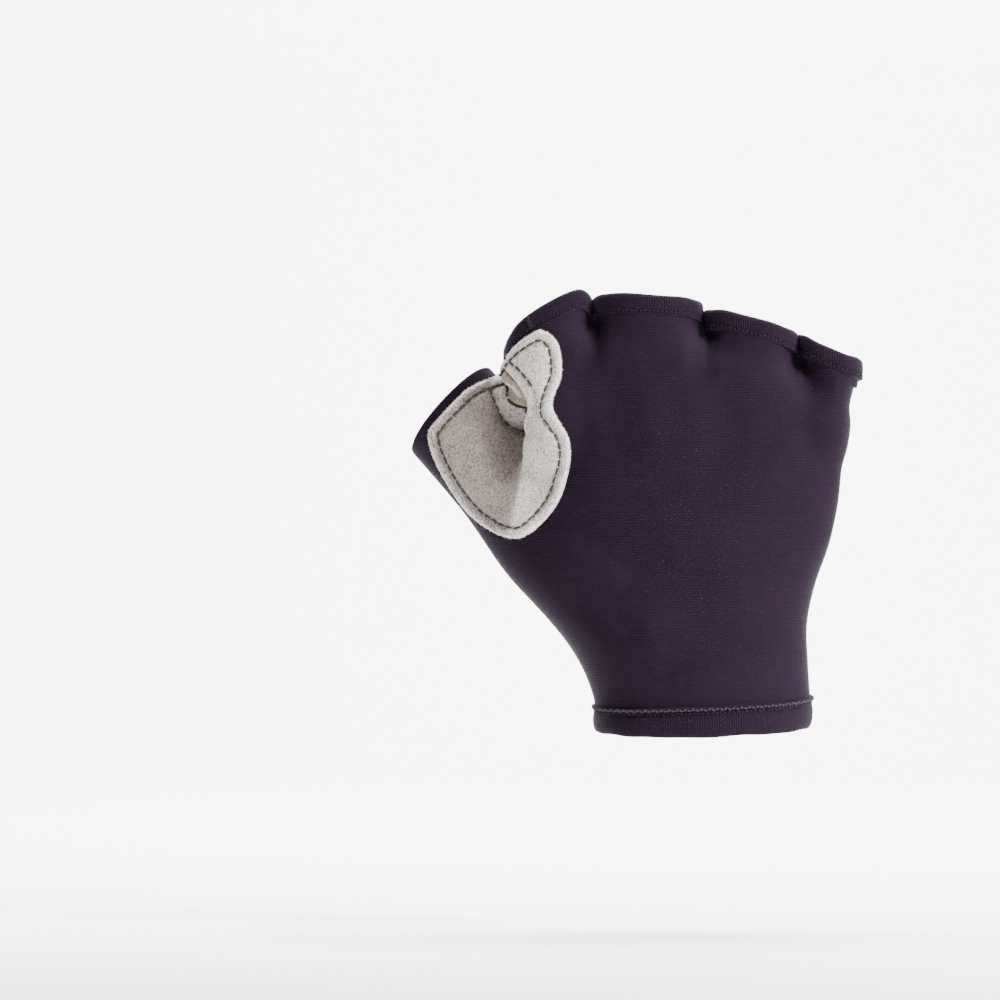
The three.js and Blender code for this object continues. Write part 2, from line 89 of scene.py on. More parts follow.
# Finger openings from the index side: shares of the knuckle breadth, its depth and the height.
finger_names = ["index", "middle", "ring", "little"]
finger_shares = {
    "width": [0.246, 0.31, 0.266, 0.178],
    "depth": [0.96, 1.0, 0.96, 0.86],
    "start": [0.879, 0.989, 0.962, 0.91],
    "end": [0.991, 0.976, 0.907, 0.849],
    "crown": [0.042, 0.0125, 0.011, -0.005],
    "crown_power": [4.5, 6, 3, 2],
    "lean": [-0.072, 0.0, 0.0, 0.034],
    "lean_foot": [0.7, 0.72, 0.72, 0.72],
    "lean_top": [0.82, 0.86, 0.86, 0.86],
}
finger_edges = knuckle_breadth * (np.cumsum([0.0, *finger_shares["width"]]) - index_edge_share)


def smoothstep(value, low, high):
    """0 below low, 1 above high, and 3 t squared minus 2 t cubed of the share t between them."""
    share = np.clip((value - low) / (high - low), 0, 1)
    return share * share * (3 - 2 * share)


def along(table, column, up):
    """A column's value up a table: cubics between rows, each row's slope being its neighbours'."""
    at, values = np.array(table["up"]), np.array(table[column])
    rows = np.arange(len(at))
    low, high = np.maximum(rows - 1, 0), np.minimum(rows + 1, len(at) - 1)
    slopes = (values[high] - values[low]) / (at[high] - at[low])
    up = np.clip(up, at[0], at[-1])
    i = np.clip(np.searchsorted(at, up, side="right") - 1, 0, len(at) - 2)
    span = at[i + 1] - at[i]
    t = (up - at[i]) / span
    a, b = values[i], values[i + 1]
    p, q = slopes[i] * span, slopes[i + 1] * span
    return a + t * (p + t * (3 * (b - a) - 2 * p - q + t * (2 * (a - b) + p + q)))


def out_of(offsets, halves, power):
    """Distance out of a rounded solid: its size where the powered shares add up, over the slope."""
    parts = [np.abs(offset) / half for offset, half in zip(offsets, halves)]
    size = np.maximum(sum(part**power for part in parts) ** (1 / power), 1e-6)
    slopes = [(part / size) ** (power - 1) / half for part, half in zip(parts, halves)]
    return (size - 1) / np.maximum(np.sqrt(sum(slope**2 for slope in slopes)), 1e-6)


def filled(a, b, radius):
    """The smaller of two distances, less the squared overlap of their bands, which rounds the join."""
    near = np.maximum(radius - np.abs(a - b), 0)
    return np.minimum(a, b) - near * near / (4 * radius)


def rim_height(x):
    """Height of the finger openings across the hand: a straight rise and a flattened arch a finger."""
    which = np.clip(np.searchsorted(finger_edges, x, side="right") - 1, 0, 3)
    left, right = finger_edges[which], finger_edges[which + 1]
    start, end, crown = (
        glove_height * np.array(finger_shares[column])[which] for column in ("start", "end", "crown")
    )
    power = np.array(finger_shares["crown_power"])[which]
    share = np.clip((x - left) / (right - left), 0, 1)
    return start + (end - start) * share + crown * (1 - np.abs(2 * share - 1) ** power)


def finger_span(finger, z):
    """Centre and half width of a finger at a height: its outer edge comes in below by its lean."""
    lean = knuckle_breadth * finger_shares["lean"][finger]
    foot, top = (glove_height * finger_shares[column][finger] for column in ("lean_foot", "lean_top"))
    pulled = lean * (1 - smoothstep(z, foot, top))
    left = finger_edges[finger] + finger_slit / 2 - (pulled if lean < 0 else 0)
    right = finger_edges[finger + 1] - finger_slit / 2 - (pulled if lean > 0 else 0)
    return (left + right) / 2, (right - left) / 2


def finger_distance(finger, x, y, z):
    """Distance out of one finger's tube, which is rounded off below inside the hand."""
    centre, half = finger_span(finger, z)
    below = np.maximum(finger_shares["lean_foot"][finger] * glove_height - z, 0)
    depth = knuckle_depth * finger_shares["depth"][finger] / 2
    return out_of([x - centre, y, below], [half, depth, dome_height], finger_power)


def hand_sides(z):
    """Index, little, back and palm sides of the hand's section at a height."""
    up = z / glove_height
    share = np.clip(up, 0, 1)
    breadth = wrist_breadth + (knuckle_breadth - wrist_breadth) * share
    depth = wrist_depth + (knuckle_depth - wrist_depth) * share
    return (
        -along(hand_sections, "index", up) * breadth,
        along(hand_sections, "little", up) * breadth,
        -along(hand_sections, "back", up) * depth,
        along(hand_sections, "palm", up) * depth,
    )


def hand_distance(x, y, z):
    """Distance out of the hand: a rounded section at each height, under a dome at the knuckles."""
    left, right, back, palm = hand_sides(z)
    dome_foot = rim_height(x) - finger_hem_height - web_drop - dome_height
    offsets = [x - (left + right) / 2, y - (back + palm) / 2, np.maximum(z - dome_foot, 0)]
    return out_of(offsets, [(right - left) / 2, (palm - back) / 2, dome_height], hand_power)


thumb_axis = np.array([-np.sin(thumb_lean), 0, np.cos(thumb_lean)])
thumb_across = np.array([np.cos(thumb_lean), 0, np.sin(thumb_lean)])
thumb_foot = np.array([-wrist_breadth / 2, 0, 0.14 * glove_height]) + thumb_across * thumb_breadth / 2
thumb_rim = thumb_foot + thumb_axis * thumb_length + np.array([0, thumb_set, 0])
rim_axis = np.array(
    [-np.sin(rim_lean) * np.cos(rim_tip), np.sin(rim_tip), np.cos(rim_lean) * np.cos(rim_tip)]
)


def thumb_distance(x, y, z):
    """Distance out of the thumb: a rounded section at each place along its leaning axis."""
    out = x - thumb_foot[0]
    rise = z - thumb_foot[2]
    run = out * thumb_axis[0] + rise * thumb_axis[2]
    up = np.clip(run / thumb_length, 0, 1)
    width = along(thumb_sections, "width", up) * thumb_breadth / 2
    depth = along(thumb_sections, "depth", up) * thumb_depth / 2
    middle = along(thumb_sections, "set", up) * thumb_set
    across = out * thumb_across[0] + rise * thumb_across[2]
    tube = out_of([across, y - middle, np.minimum(run, 0)], [width, depth, width], thumb_power)
    return np.maximum(tube, run - thumb_length - overrun)


def glove_form(x, y, z):
    """Distance out of the worn glove: the hand, four fingers and the thumb with their joins filled."""
    near = hand_distance(x, y, z)
    for finger in range(4):
        near = filled(near, finger_distance(finger, x, y, z), web_radius)
    near = filled(near, thumb_distance(x, y, z), crotch_radius)
    return np.maximum(near, np.maximum(z - glove_height, -z) - overrun)


def slope_of(form, points):
    """The form's slope at each point, by small steps both ways."""
    step = 0.00005
    slope = np.empty_like(points)
    for axis in range(3):
        ahead, behind = points.copy(), points.copy()
        ahead[:, axis] += step
        behind[:, axis] -= step
        slope[:, axis] = (form(*ahead.T) - form(*behind.T)) / (2 * step)
    return slope


def unit(vectors):
    """Vectors of length one in the same directions."""
    return vectors / np.maximum(np.linalg.norm(vectors, axis=-1, keepdims=True), 1e-12)


def skin_of(form, low, high, pitch):
    """A net of triangles where a form is zero. Each grid cell that it crosses holds one point and each
    grid edge that it crosses a quad; the points are evened out and stepped down the form's slope."""
    counts = np.ceil((high - low) / pitch).astype(int) + 1
    places = [low[axis] + pitch * np.arange(counts[axis]) for axis in range(3)]
    inside = form(*np.meshgrid(*places, indexing="ij")) < 0
    one, rest = slice(None, -1), slice(1, None)
    for _ in range(4):
        for p, q in ((0, 1), (1, 2), (0, 2)):
            corners = []
            for sp, sq in ((one, one), (rest, one), (rest, rest), (one, rest)):
                cut = [slice(None)] * 3
                cut[p], cut[q] = sp, sq
                corners.append(tuple(cut))
            a, b, c, d = (inside[corner] for corner in corners)
            crossed = (a == c) & (b == d) & (a != b)
            for corner in corners:
                inside[corner] |= crossed
    cells = []
    for axis in range(3):
        here, after = [slice(None)] * 3, [slice(None)] * 3
        here[axis], after[axis] = one, rest
        i = np.argwhere(inside[tuple(here)] != inside[tuple(after)])
        p, q = np.eye(3, dtype=int)[(axis + 1) % 3], np.eye(3, dtype=int)[(axis + 2) % 3]
        ring = np.stack([i, i - p, i - p - q, i - q], axis=1)
        outward = inside[tuple(i.T)]
        cells.append(np.where(outward[:, None, None], ring, ring[:, ::-1]))
    cells = np.concatenate(cells)
    keys = (cells[..., 0] * counts[1] + cells[..., 1]) * counts[2] + cells[..., 2]
    kept, quads = np.unique(keys.ravel(), return_inverse=True)
    quads = quads.reshape(-1, 4)
    index = np.stack([kept // (counts[1] * counts[2]), kept // counts[2] % counts[1], kept % counts[2]], 1)
    points = low + (index + 0.5) * pitch
    ahead = np.roll(quads, -1, axis=1)
    shares = np.bincount(quads.ravel(), minlength=len(points))[:, None]
    for _ in range(4):
        sums = [np.bincount(quads.ravel(), points[ahead.ravel(), axis]) for axis in range(3)]
        points = points + 0.7 * (np.stack(sums, axis=1) / shares - points)
        for _ in range(2):
            slope = slope_of(form, points)
            steep = np.maximum((slope**2).sum(1), 0.2)
            points = points - (form(*points.T) / steep)[:, None] * slope
    a, b, c, d = quads.T
    first = np.linalg.norm(points[a] - points[c], axis=1) < np.linalg.norm(points[b] - points[d], axis=1)
    triangles = np.concatenate([
        np.stack([a, b, np.where(first, c, d)], axis=1),
        np.stack([np.where(first, a, b), c, d], axis=1),
    ])
    return {"points": points, "normals": unit(slope_of(form, points)), "triangles": triangles}


def split_at(skin, field, level=0.0):
    """The skin with its triangles split where a field has a level. New points share the values of
    the two ends of the edge that they lie on, in proportion."""
    value = skin[field] - level
    value = np.where(np.abs(value) < 0.00006, 0, value)
    triangles = skin["triangles"]
    ends = np.stack([triangles, np.roll(triangles, -1, axis=1)], axis=2)
    crossed = value[ends[..., 0]] * value[ends[..., 1]] < 0
    pairs, which = np.unique(np.sort(ends[crossed], axis=1), axis=0, return_inverse=True)
    share = value[pairs[:, 0]] / (value[pairs[:, 0]] - value[pairs[:, 1]])
    out = {}
    for name, held in skin.items():
        if name != "triangles":
            part = share.reshape(-1, *[1] * (held.ndim - 1))
            out[name] = np.concatenate([held, held[pairs[:, 0]] * (1 - part) + held[pairs[:, 1]] * part])
    middle = np.full(triangles.shape, -1)
    middle[crossed] = len(value) + which.ravel()
    made = [triangles[~crossed.any(axis=1)]]
    for turn in range(3):
        a, b, c = (triangles[:, (turn + k) % 3] for k in range(3))
        ab, bc, ca = (middle[:, (turn + k) % 3] for k in range(3))
        lone = (ab >= 0) & (ca >= 0)
        for corners in ((a, ab, ca), (ab, b, c), (ab, c, ca)):
            made.append(np.stack(corners, axis=1)[lone])
        half = (ab >= 0) & (bc < 0) & (ca < 0)
        for corners in ((a, ab, c), (ab, b, c)):
            made.append(np.stack(corners, axis=1)[half])
    out["triangles"] = np.concatenate(made)
    return out


def kept_above(skin, field, level=0.0):
    """The part of the skin where a field is above a level, cut along the level, unused points gone."""
    skin = split_at(skin, field, level)
    inside = (skin[field][skin["triangles"]] - level > -0.00007).all(axis=1)
    inside &= (skin[field][skin["triangles"]] - level).sum(axis=1) > 0
    used, triangles = np.unique(skin["triangles"][inside], return_inverse=True)
    out = {name: held[used] for name, held in skin.items() if name != "triangles"}
    out["triangles"] = triangles.reshape(-1, 3)
    return out


def walled(outer, inner, triangles):
    """A closed sheet: the triangles outside, the same turned round inside, and quads, as pairs of
    triangles, round every open edge."""
    count = len(outer)
    edges = np.concatenate([triangles[:, [0, 1]], triangles[:, [1, 2]], triangles[:, [2, 0]]])
    keys, back = edges[:, 0] * count + edges[:, 1], edges[:, 1] * count + edges[:, 0]
    a, b = edges[~np.isin(keys, back)].T
    faces = np.concatenate([
        triangles,
        triangles[:, ::-1] + count,
        np.stack([b, a, a + count], axis=1),
        np.stack([b, a + count, b + count], axis=1),
    ])
    return np.concatenate([outer, inner]), faces


def put_in(name, data):
    """A new object of the scene that holds a mesh, a lamp or a camera."""
    holder = bpy.data.objects.new(name, data)
    bpy.context.scene.collection.objects.link(holder)
    return holder


def piece_of(name, points, triangles, values):
    """A mesh object from arrays, smooth shaded, with a float attribute for each named value."""
    mesh = bpy.data.meshes.new(name)
    mesh.vertices.add(len(points))
    mesh.vertices.foreach_set("co", points.astype(np.float32).ravel())
    mesh.loops.add(triangles.size)
    mesh.loops.foreach_set("vertex_index", triangles.astype(np.int32).ravel())
    mesh.polygons.add(len(triangles))
    mesh.polygons.foreach_set("loop_start", np.arange(0, triangles.size, 3, dtype=np.int32))
    mesh.update(calc_edges=True)
    mesh.shade_smooth()
    for label, held in values.items():
        attribute = mesh.attributes.new(label, "FLOAT", "POINT")
        attribute.data.foreach_set("value", held.astype(np.float32))
    piece = put_in(name, mesh)
    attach(piece, "root")
    return piece


def bell(value, width):
    """A rounded bump of height one at zero that is gone past its width."""
    return np.clip(1 - (value / width) ** 2, 0, 1) ** 2


def near_line(x, z, start, end):
    """Distance in the front view to a straight line between two places, and the share along it."""
    run = np.subtract(end, start)
    share = ((x - start[0]) * run[0] + (z - start[1]) * run[1]) / (run**2).sum()
    held = np.clip(share, 0, 1)
    return np.hypot(x - start[0] - held * run[0], z - start[1] - held * run[1]), share


def wrist_level(x, y):
    """How far the wrist's slanting edge lies above the origin."""
    return x * np.tan(wrist_rise) + (y + wrist_depth / 2) * np.tan(wrist_dip)


# Pinches of the knit below the notches between fingers, on the back and on the palm.
pinches = [
    {"start": (-0.0330, 0.1250), "end": (-0.0335, 0.1080), "width": 0.0052, "depth": 0.0011},
    {"start": (0.0002, 0.1222), "end": (-0.0010, 0.1040), "width": 0.0060, "depth": 0.0012},
    {"start": (0.0285, 0.1155), "end": (0.0355, 0.0985), "width": 0.0070, "depth": 0.0013},
]
# Slack waves of the knit on the back of the hand and over the thumb's root: crest lines.
waves = [
    {"start": (-0.026, 0.047), "end": (-0.047, 0.060), "width": 0.006, "depth": -0.0008},
    {"start": (-0.021, 0.030), "end": (-0.045, 0.045), "width": 0.007, "depth": 0.0007},
    {"start": (0.034, 0.086), "end": (0.020, 0.060), "width": 0.010, "depth": 0.0006},
    {"start": (-0.028, 0.109), "end": (-0.020, 0.070), "width": 0.009, "depth": 0.0005},
    {"start": (0.006, 0.106), "end": (0.004, 0.070), "width": 0.010, "depth": 0.0006},
    {"start": (0.020, 0.028), "end": (-0.016, 0.020), "width": 0.006, "depth": 0.0004},
]
crotch_lean = np.radians(32)
seam_ramp = 0.0008
seam_facing = 0.06
crotch_point = np.array([-0.478 * knuckle_breadth, 0, 0.722 * glove_height])
# Where the seam comes round to the back beside the index finger: a line in the front view.
index_seam = {
    "up": [0.68, 0.722, 0.765, 0.804, 0.836, 0.86],
    "across": [-0.478, -0.478, -0.488, -0.519, -0.553, -0.58],
}
# Where the web's leather folds over itself: a line in the front view, from the crotch downwards.
crease_line = {
    "up": [0.46, 0.54, 0.61, 0.67, 0.73, 0.80],
    "across": [-0.53, -0.505, -0.489, -0.4775, -0.477, -0.477],
}
crease_drop = 0.0050
crease_swell = 0.0010
fork_drop = 0.0019


def beside_crease(x, z):
    """Distance in the front view to the hand's side of the web's crease line."""
    up = np.clip(z / glove_height, crease_line["up"][0], crease_line["up"][-1])
    return x - knuckle_breadth * along(crease_line, "across", up)


def past_crotch(x, z, lean):
    """Distance in the front view past a leaning line through the crotch, towards the hand."""
    return (x - crotch_point[0]) * np.cos(lean) + (z - crotch_point[2]) * np.sin(lean)


def back_of_seam(points, facing):
    """How far places lie to the back of the patches' seam: beside the index finger past a line of the
    front view, or on the thumb's side of the crotch where the glove doesn't face the palm. The
    greater of the two counts, with a rounded turn between them."""
    x, y, z = points.T
    on_index = np.minimum(x - knuckle_breadth * along(index_seam, "across", z / glove_height), -y)
    on_thumb = np.minimum(thumb_depth / 2 * (seam_facing - facing), -past_crotch(x, z, thumb_lean))
    return -filled(-on_index, -on_thumb, seam_ramp)


def creased(skin):
    """How far the web's crease falls in on the back: a sharp step at its line that recovers slowly
    over the thumb, with a low swell on the hand's side, both fading downwards. Above it, the palm's
    leather is sunk in a fork between the two sides of the seam."""
    x, y, z = skin["points"].T
    up = z / glove_height
    beside = skin["beside_crease"]
    foot = 0.0009 + 0.007 * (1 - smoothstep(up, 0.52, 0.68))
    thumb_side = (1 - smoothstep(beside, -foot, 0.0)) * smoothstep(beside, -0.019, -0.0005)
    hand_side = smoothstep(beside, -foot, 0.0006) * (1 - smoothstep(beside, 0.001, 0.010))
    fade = smoothstep(up, 0.46, 0.68) * (1 - smoothstep(up, 0.718, 0.76))
    fade *= 1 - smoothstep(y, 0.004, 0.012)
    past = -skin["back_of_seam"]
    fork = smoothstep(past, 0.0, 0.0006) * (1 - smoothstep(past, 0.003, 0.007))
    fork *= smoothstep(up, 0.70, 0.74) * (1 - smoothstep(up, 0.778, 0.815))
    fork *= (1 - smoothstep(y, 0.008, 0.014)) * (x < 0.6 * crotch_point[0])
    return fade * (crease_drop * thumb_side - crease_swell * hand_side) + fork_drop * fork


def pinched(points):
    """How far the knit falls in: bells across the pinch and wave lines that fade at their ends."""
    x, y, z = points.T
    fall = np.zeros(len(points))
    for fold in pinches + waves:
        away, share = near_line(x, z, fold["start"], fold["end"])
        fade = smoothstep(share, -0.25, 0.1) * (1 - smoothstep(share, 0.45, 1.15))
        fall += fold["depth"] * bell(away, fold["width"]) * fade
    return fall


low = np.array([thumb_rim[0] - 0.8 * thumb_breadth, -0.6 * wrist_depth, -1.6 * overrun])
high = np.array([0.6 * knuckle_breadth, 0.95 * wrist_depth, glove_height + 1.6 * overrun])
skin = skin_of(glove_form, low, high, skin_pitch)
skin["beside_crease"] = beside_crease(skin["points"][:, 0], skin["points"][:, 2])
for level in (-0.0030, -0.0018, -0.0009, -0.0006, -0.0003, 0.0, 0.0005):
    skin = split_at(skin, "beside_crease", level)
skin["normals"] = unit(skin["normals"])
x, y, z = skin["points"].T
skin["under_hems"] = rim_height(x) - finger_hem_height + hem_lap - z
skin["over_wrist"] = z - wrist_level(x, y) - wrist_hem_height + hem_lap
to_rim = -(skin["points"] - thumb_rim) @ rim_axis
skin["in_thumb"] = np.where(past_crotch(x, z, crotch_lean) < 0.004, to_rim, 0.05)
skin["back_of_seam"] = back_of_seam(skin["points"], skin["normals"][:, 1])
skin["thumb_across"] = past_crotch(x, z, thumb_lean)
skin["fall"] = pinched(skin["points"])
skin["crease"] = creased(skin)

knit = skin
for field in ("under_hems", "over_wrist", "in_thumb"):
    knit = kept_above(knit, field)
for level in (0.0002, 0.0005, roll_radius):
    knit = split_at(knit, "in_thumb", level)
rolled = knit_wall / 2 * (1 - np.sqrt(1 - np.clip(1 - knit["in_thumb"] / roll_radius, 0, 1) ** 2))
outer = knit["points"] - knit["normals"] * (knit["fall"] + knit["crease"] + rolled)[:, None]
inner = outer - knit["normals"] * (knit_wall - 2 * rolled)[:, None]
points, triangles = walled(outer, inner, knit["triangles"])

# Wales of the knit run from the wrist to the knuckles, so each is a share of the way round the hand.
left, right, back, palm = hand_sides(points[:, 2])
turn = np.arctan2(
    (points[:, 1] - (back + palm) / 2) / (palm - back), (points[:, 0] - (left + right) / 2) / (right - left)
)
half_breadth = 0.045
half_depth = 0.017
turns = np.linspace(-np.pi, np.pi, 721)
steps = np.hypot(half_breadth * np.sin(turns), half_depth * np.cos(turns)) * (turns[1] - turns[0])
around = np.interp(turn, turns, np.cumsum(steps))
shell = piece_of("knit_tube", points, triangles, {"around": around})
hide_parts("knit_shell")


def new_material(name):
    """A node material with only a shader and its output."""
    material = bpy.data.materials.new(name)
    material.use_nodes = True
    tree = material.node_tree
    tree.nodes.clear()
    output = tree.nodes.new("ShaderNodeOutputMaterial")
    shader = tree.nodes.new("ShaderNodeBsdfPrincipled")
    tree.links.new(shader.outputs["BSDF"], output.inputs["Surface"])
    return material, tree, shader


def plug(tree, node, sockets):
    """Gives a node's sockets their numbers and colours, or links them to other nodes' outputs."""
    for label, value in sockets.items():
        if isinstance(value, bpy.types.NodeSocket):
            tree.links.new(value, node.inputs[label])
        else:
            node.inputs[label].default_value = value


def added(tree, kind, sockets, **settings):
    """The outputs of a new node of a kind, with its settings made and its sockets plugged."""
    node = tree.nodes.new("ShaderNode" + kind)
    for label, value in settings.items():
        setattr(node, label, value)
    plug(tree, node, sockets)
    return node.outputs


def worked(tree, operation, *values):
    """A Math node's output, from numbers or other nodes' outputs."""
    return added(tree, "Math", dict(enumerate(values)), operation=operation)[0]


def mixed(tree, factor, a, b, blend="MIX"):
    """A Mix node's colour."""
    sockets = {"Factor": factor, "A": a, "B": b}
    return added(tree, "Mix", sockets, data_type="RGBA", clamp_factor=True, blend_type=blend)["Result"]


def new_group(name, inputs, outputs):
    """A node group with named sockets, and the sockets at its two ends. Its outputs are numbers."""
    tree = bpy.data.node_groups.new(name, "ShaderNodeTree")
    for label, kind in inputs.items():
        tree.interface.new_socket(label, in_out="INPUT", socket_type=kind)
    for label in outputs:
        tree.interface.new_socket(label, in_out="OUTPUT", socket_type="NodeSocketFloat")
    return tree, tree.nodes.new("NodeGroupInput").outputs, tree.nodes.new("NodeGroupOutput").inputs


def value_of(tree, label):
    """The output of a node that reads one of a piece's float attributes."""
    return added(tree, "Attribute", {}, attribute_name=label)["Fac"]


def knit_loops():
    """Node group of a fine plain knit. Height is a course wave up the cloth, bent by each wale's
    wave, and Patch a soft cloudy share for worn and stretched places."""
    sizes = dict.fromkeys(["Around", "Up", "Course", "Wale", "Wale share"], "NodeSocketFloat")
    sockets = {**sizes, "Position": "NodeSocketVector"}
    tree, into, out = new_group("Knit loops", sockets, ["Height", "Patch"])
    whole_turn = 2 * np.pi
    wale = worked(tree, "DIVIDE", into["Around"], into["Wale"])
    wale_wave = worked(tree, "SINE", worked(tree, "MULTIPLY", wale, whole_turn))
    course = worked(tree, "DIVIDE", into["Up"], into["Course"])
    wander = added(tree, "TexNoise", {"Scale": 260, "Vector": into["Position"]})[0]
    shifted = worked(tree, "ADD", course, worked(tree, "MULTIPLY", wale_wave, 0.16))
    shifted = worked(tree, "MULTIPLY_ADD", wander, 0.45, shifted)
    course_wave = worked(tree, "SINE", worked(tree, "MULTIPLY", shifted, whole_turn))
    wales = worked(tree, "MULTIPLY", wale_wave, into["Wale share"])
    cloud = added(tree, "TexNoise", {"Scale": 55, "Detail": 3, "Vector": into["Position"]})[0]
    tree.links.new(worked(tree, "ADD", wales, course_wave), out["Height"])
    tree.links.new(cloud, out["Patch"])
    return tree


loops = knit_loops()
yarn_dark = (0.0042, 0.0012, 0.0050, 1)
yarn_light = (0.0150, 0.0076, 0.0176, 1)
nylon_sheen = (0.62, 0.55, 0.74, 1)
loop_relief = 0.00012


def knit_cloth(name, course, wale, wale_share, strength):
    """The knit's material: dark yarn, lighter on its courses' crests, with a soft nylon sheen."""
    material, tree, shader = new_material(name)
    place = added(tree, "TexCoord", {})["Object"]
    sockets = {
        "Around": value_of(tree, "around"),
        "Up": added(tree, "SeparateXYZ", {0: place})["Z"],
        "Position": place,
        "Course": course,
        "Wale": wale,
        "Wale share": wale_share,
    }
    weave = added(tree, "Group", sockets, node_tree=loops)
    share = worked(tree, "MULTIPLY_ADD", weave["Height"], 0.16, 0.1)
    share = worked(tree, "MULTIPLY_ADD", weave["Patch"], 0.6, share)
    relief = {"Strength": strength, "Distance": loop_relief, "Height": weave["Height"]}
    plug(tree, shader, {
        "Base Color": mixed(tree, share, yarn_dark, yarn_light),
        "Normal": added(tree, "Bump", relief)["Normal"],
        "Roughness": worked(tree, "MULTIPLY_ADD", weave["Patch"], 0.15, 0.66),
        "Specular IOR Level": 0.06,
        "Sheen Weight": 0.02,
        "Sheen Roughness": 0.4,
        "Sheen Tint": nylon_sheen,
    })
    return material


shell.data.materials.append(
    knit_cloth("Knit cloth", course=0.00078, wale=0.0009, wale_share=0.1, strength=0.35)
)

# Finger hems
# The knit turned in round each finger opening and stitched down a little above the fold line, with
# a thin lip of cloth below the stitches. Its wales stand across the band.
hem_turns = 220
hem_spread = 0.0004
hem_stitch_drop = 0.0049


def curved(p, a, b, q, t):
    """A cubic from a to b whose slopes follow the neighbours p and q, at shares t."""
    return 0.5 * (2 * a + (b - p) * t + (2 * p - 5 * a + 4 * b - q) * t**2 + (3 * a - p - 3 * b + q) * t**3)


def looped(section, count):
    """A smooth closed line through the rows of a section's two columns."""
    rows = np.array(list(section.values())).T
    at = np.linspace(0, len(rows), count, endpoint=False)
    i = at.astype(int)
    return curved(*(rows[(i + k) % len(rows)] for k in (-1, 0, 1, 2)), (at - i)[:, None])


def circle(count):
    """Even angles round a circle."""
    return np.linspace(0, 2 * np.pi, count, endpoint=False)


def section_ring(centre, half, depth, grow, power, turns):
    """Places round a rounded section grown by an amount: powered cosine and sine of even angles."""
    c, s = np.cos(circle(turns)), np.sin(circle(turns))
    x = centre + (half + grow) * np.sign(c) * np.abs(c) ** (2 / power)
    y = (depth + grow) * np.sign(s) * np.abs(s) ** (2 / power)
    return x, y


def halved(quads):
    """Quads as pairs of triangles."""
    return np.concatenate([quads[:, [0, 1, 2]], quads[:, [0, 2, 3]]])


def band_of(rings):
    """Points and triangles of a closed band: rings of equal turns, joined in order and back to the
    first ring."""
    layers, turns = rings.shape[:2]
    r, n = np.meshgrid(np.arange(layers), np.arange(turns), indexing="ij")
    a, b = r * turns + n, r * turns + (n + 1) % turns
    d, c = (r + 1) % layers * turns + n, (r + 1) % layers * turns + (n + 1) % turns
    quads = np.stack([a, b, c, d], axis=-1).reshape(-1, 4)
    return rings.reshape(-1, 3), halved(quads)


# The band's section: grow is out from the finger's skin and down is from the rim, in mm.
finger_hem_section = {
    "grow": [0.15, 0.35, -0.05, 0.25, 0.35, 0.25, -0.15, -0.9,
             -1.6, -2.25, -2.45, -2.35, -2.1, -1.5, -1.15, -0.5],
    "down": [6.0, 5.6, 4.9, 4.2, 2.6, 1.0, 0.3, 0.0,
             0.2, 0.9, 3.0, 5.8, 8.5, 8.8, 7.0, 6.4],
}
hem_cloth = knit_cloth("Hem cloth", course=0.00078, wale=0.00072, wale_share=1.4, strength=0.5)
hem_stitch_lines = []


def run_lengths(line):
    """How far along a line each of its places lies."""
    return np.concatenate([[0], np.cumsum(np.linalg.norm(np.diff(line, axis=0), axis=1))])


def hem_band(name, rings, edge):
    """A band of hem cloth from its rings, and its girth along one edge, which also gives the wales."""
    points, triangles = band_of(rings)
    lengths = run_lengths(np.concatenate([edge, edge[:1]]))
    band = piece_of(name, points, triangles, {"around": np.tile(lengths[:-1], len(rings))})
    band.data.materials.append(hem_cloth)
    return band, lengths[-1]


def opening(finger):
    """Centre, half width and half depth of a finger's opening where its hem lies."""
    centre, half = finger_span(finger, glove_height)
    return centre, half + hem_spread, knuckle_depth * finger_shares["depth"][finger] / 2


for finger, name in enumerate(finger_names):
    profile = looped(finger_hem_section, 48) / 1000
    x, y = section_ring(*opening(finger), profile[:, :1], finger_power, hem_turns)
    angle = circle(hem_turns)
    waver = 0.00012 * np.sin(3 * angle + finger) + 0.00008 * np.sin(7 * angle + 2 * finger)
    z = rim_height(x) - profile[:, 1:] + waver * (1 - profile[:, 1:] / 0.009)
    rings = np.stack([x, y, z], axis=2)
    hem, girth = hem_band(f"{name}_band", rings, rings[0])
    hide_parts(f"{name}_hem")
    x, y = section_ring(*opening(finger), 0.00005, finger_power, 4 * hem_turns)
    hem_stitch_lines.append(np.stack([x, y, rim_height(x) - hem_stitch_drop], axis=1))

# Wrist hem
# A wider band of the same knit turned in round the wrist. It is puffier than the finger hems and
# stands a little out of the knit, with its stitches just under its upper edge.
wrist_turns = 420
stitch_level = 0.0072
# grow is out from the wrist's skin and up is from the lower edge, in mm.
wrist_hem_section = {
    "grow": [0.1, -1.5, -1.7, -1.7, -1.6, -1.0, -0.1, 0.45, 0.8, 0.85, 0.6, 0.15, 0.55, 0.65],
    "up": [8.9, 9.0, 7.0, 3.0, 1.0, 0.1, -0.1, 0.6, 2.2, 4.2, 6.2, 7.2, 8.0, 8.6],
}


def wrist_ring(grow, up, turns):
    """Places round the wrist's section at a height, grown by an amount."""
    left, right, _, _ = hand_sides(up)
    return section_ring((left + right) / 2, (right - left) / 2, wrist_depth / 2, grow, hand_power, turns)


def wrist_line(grow, up):
    """A closed line of stitches round the wrist: its section there, grown, at a height plus the slant."""
    x, y = wrist_ring(grow, stitch_level, 4 * wrist_turns)
    return np.stack([x, y, up + wrist_level(x, y)], axis=1)


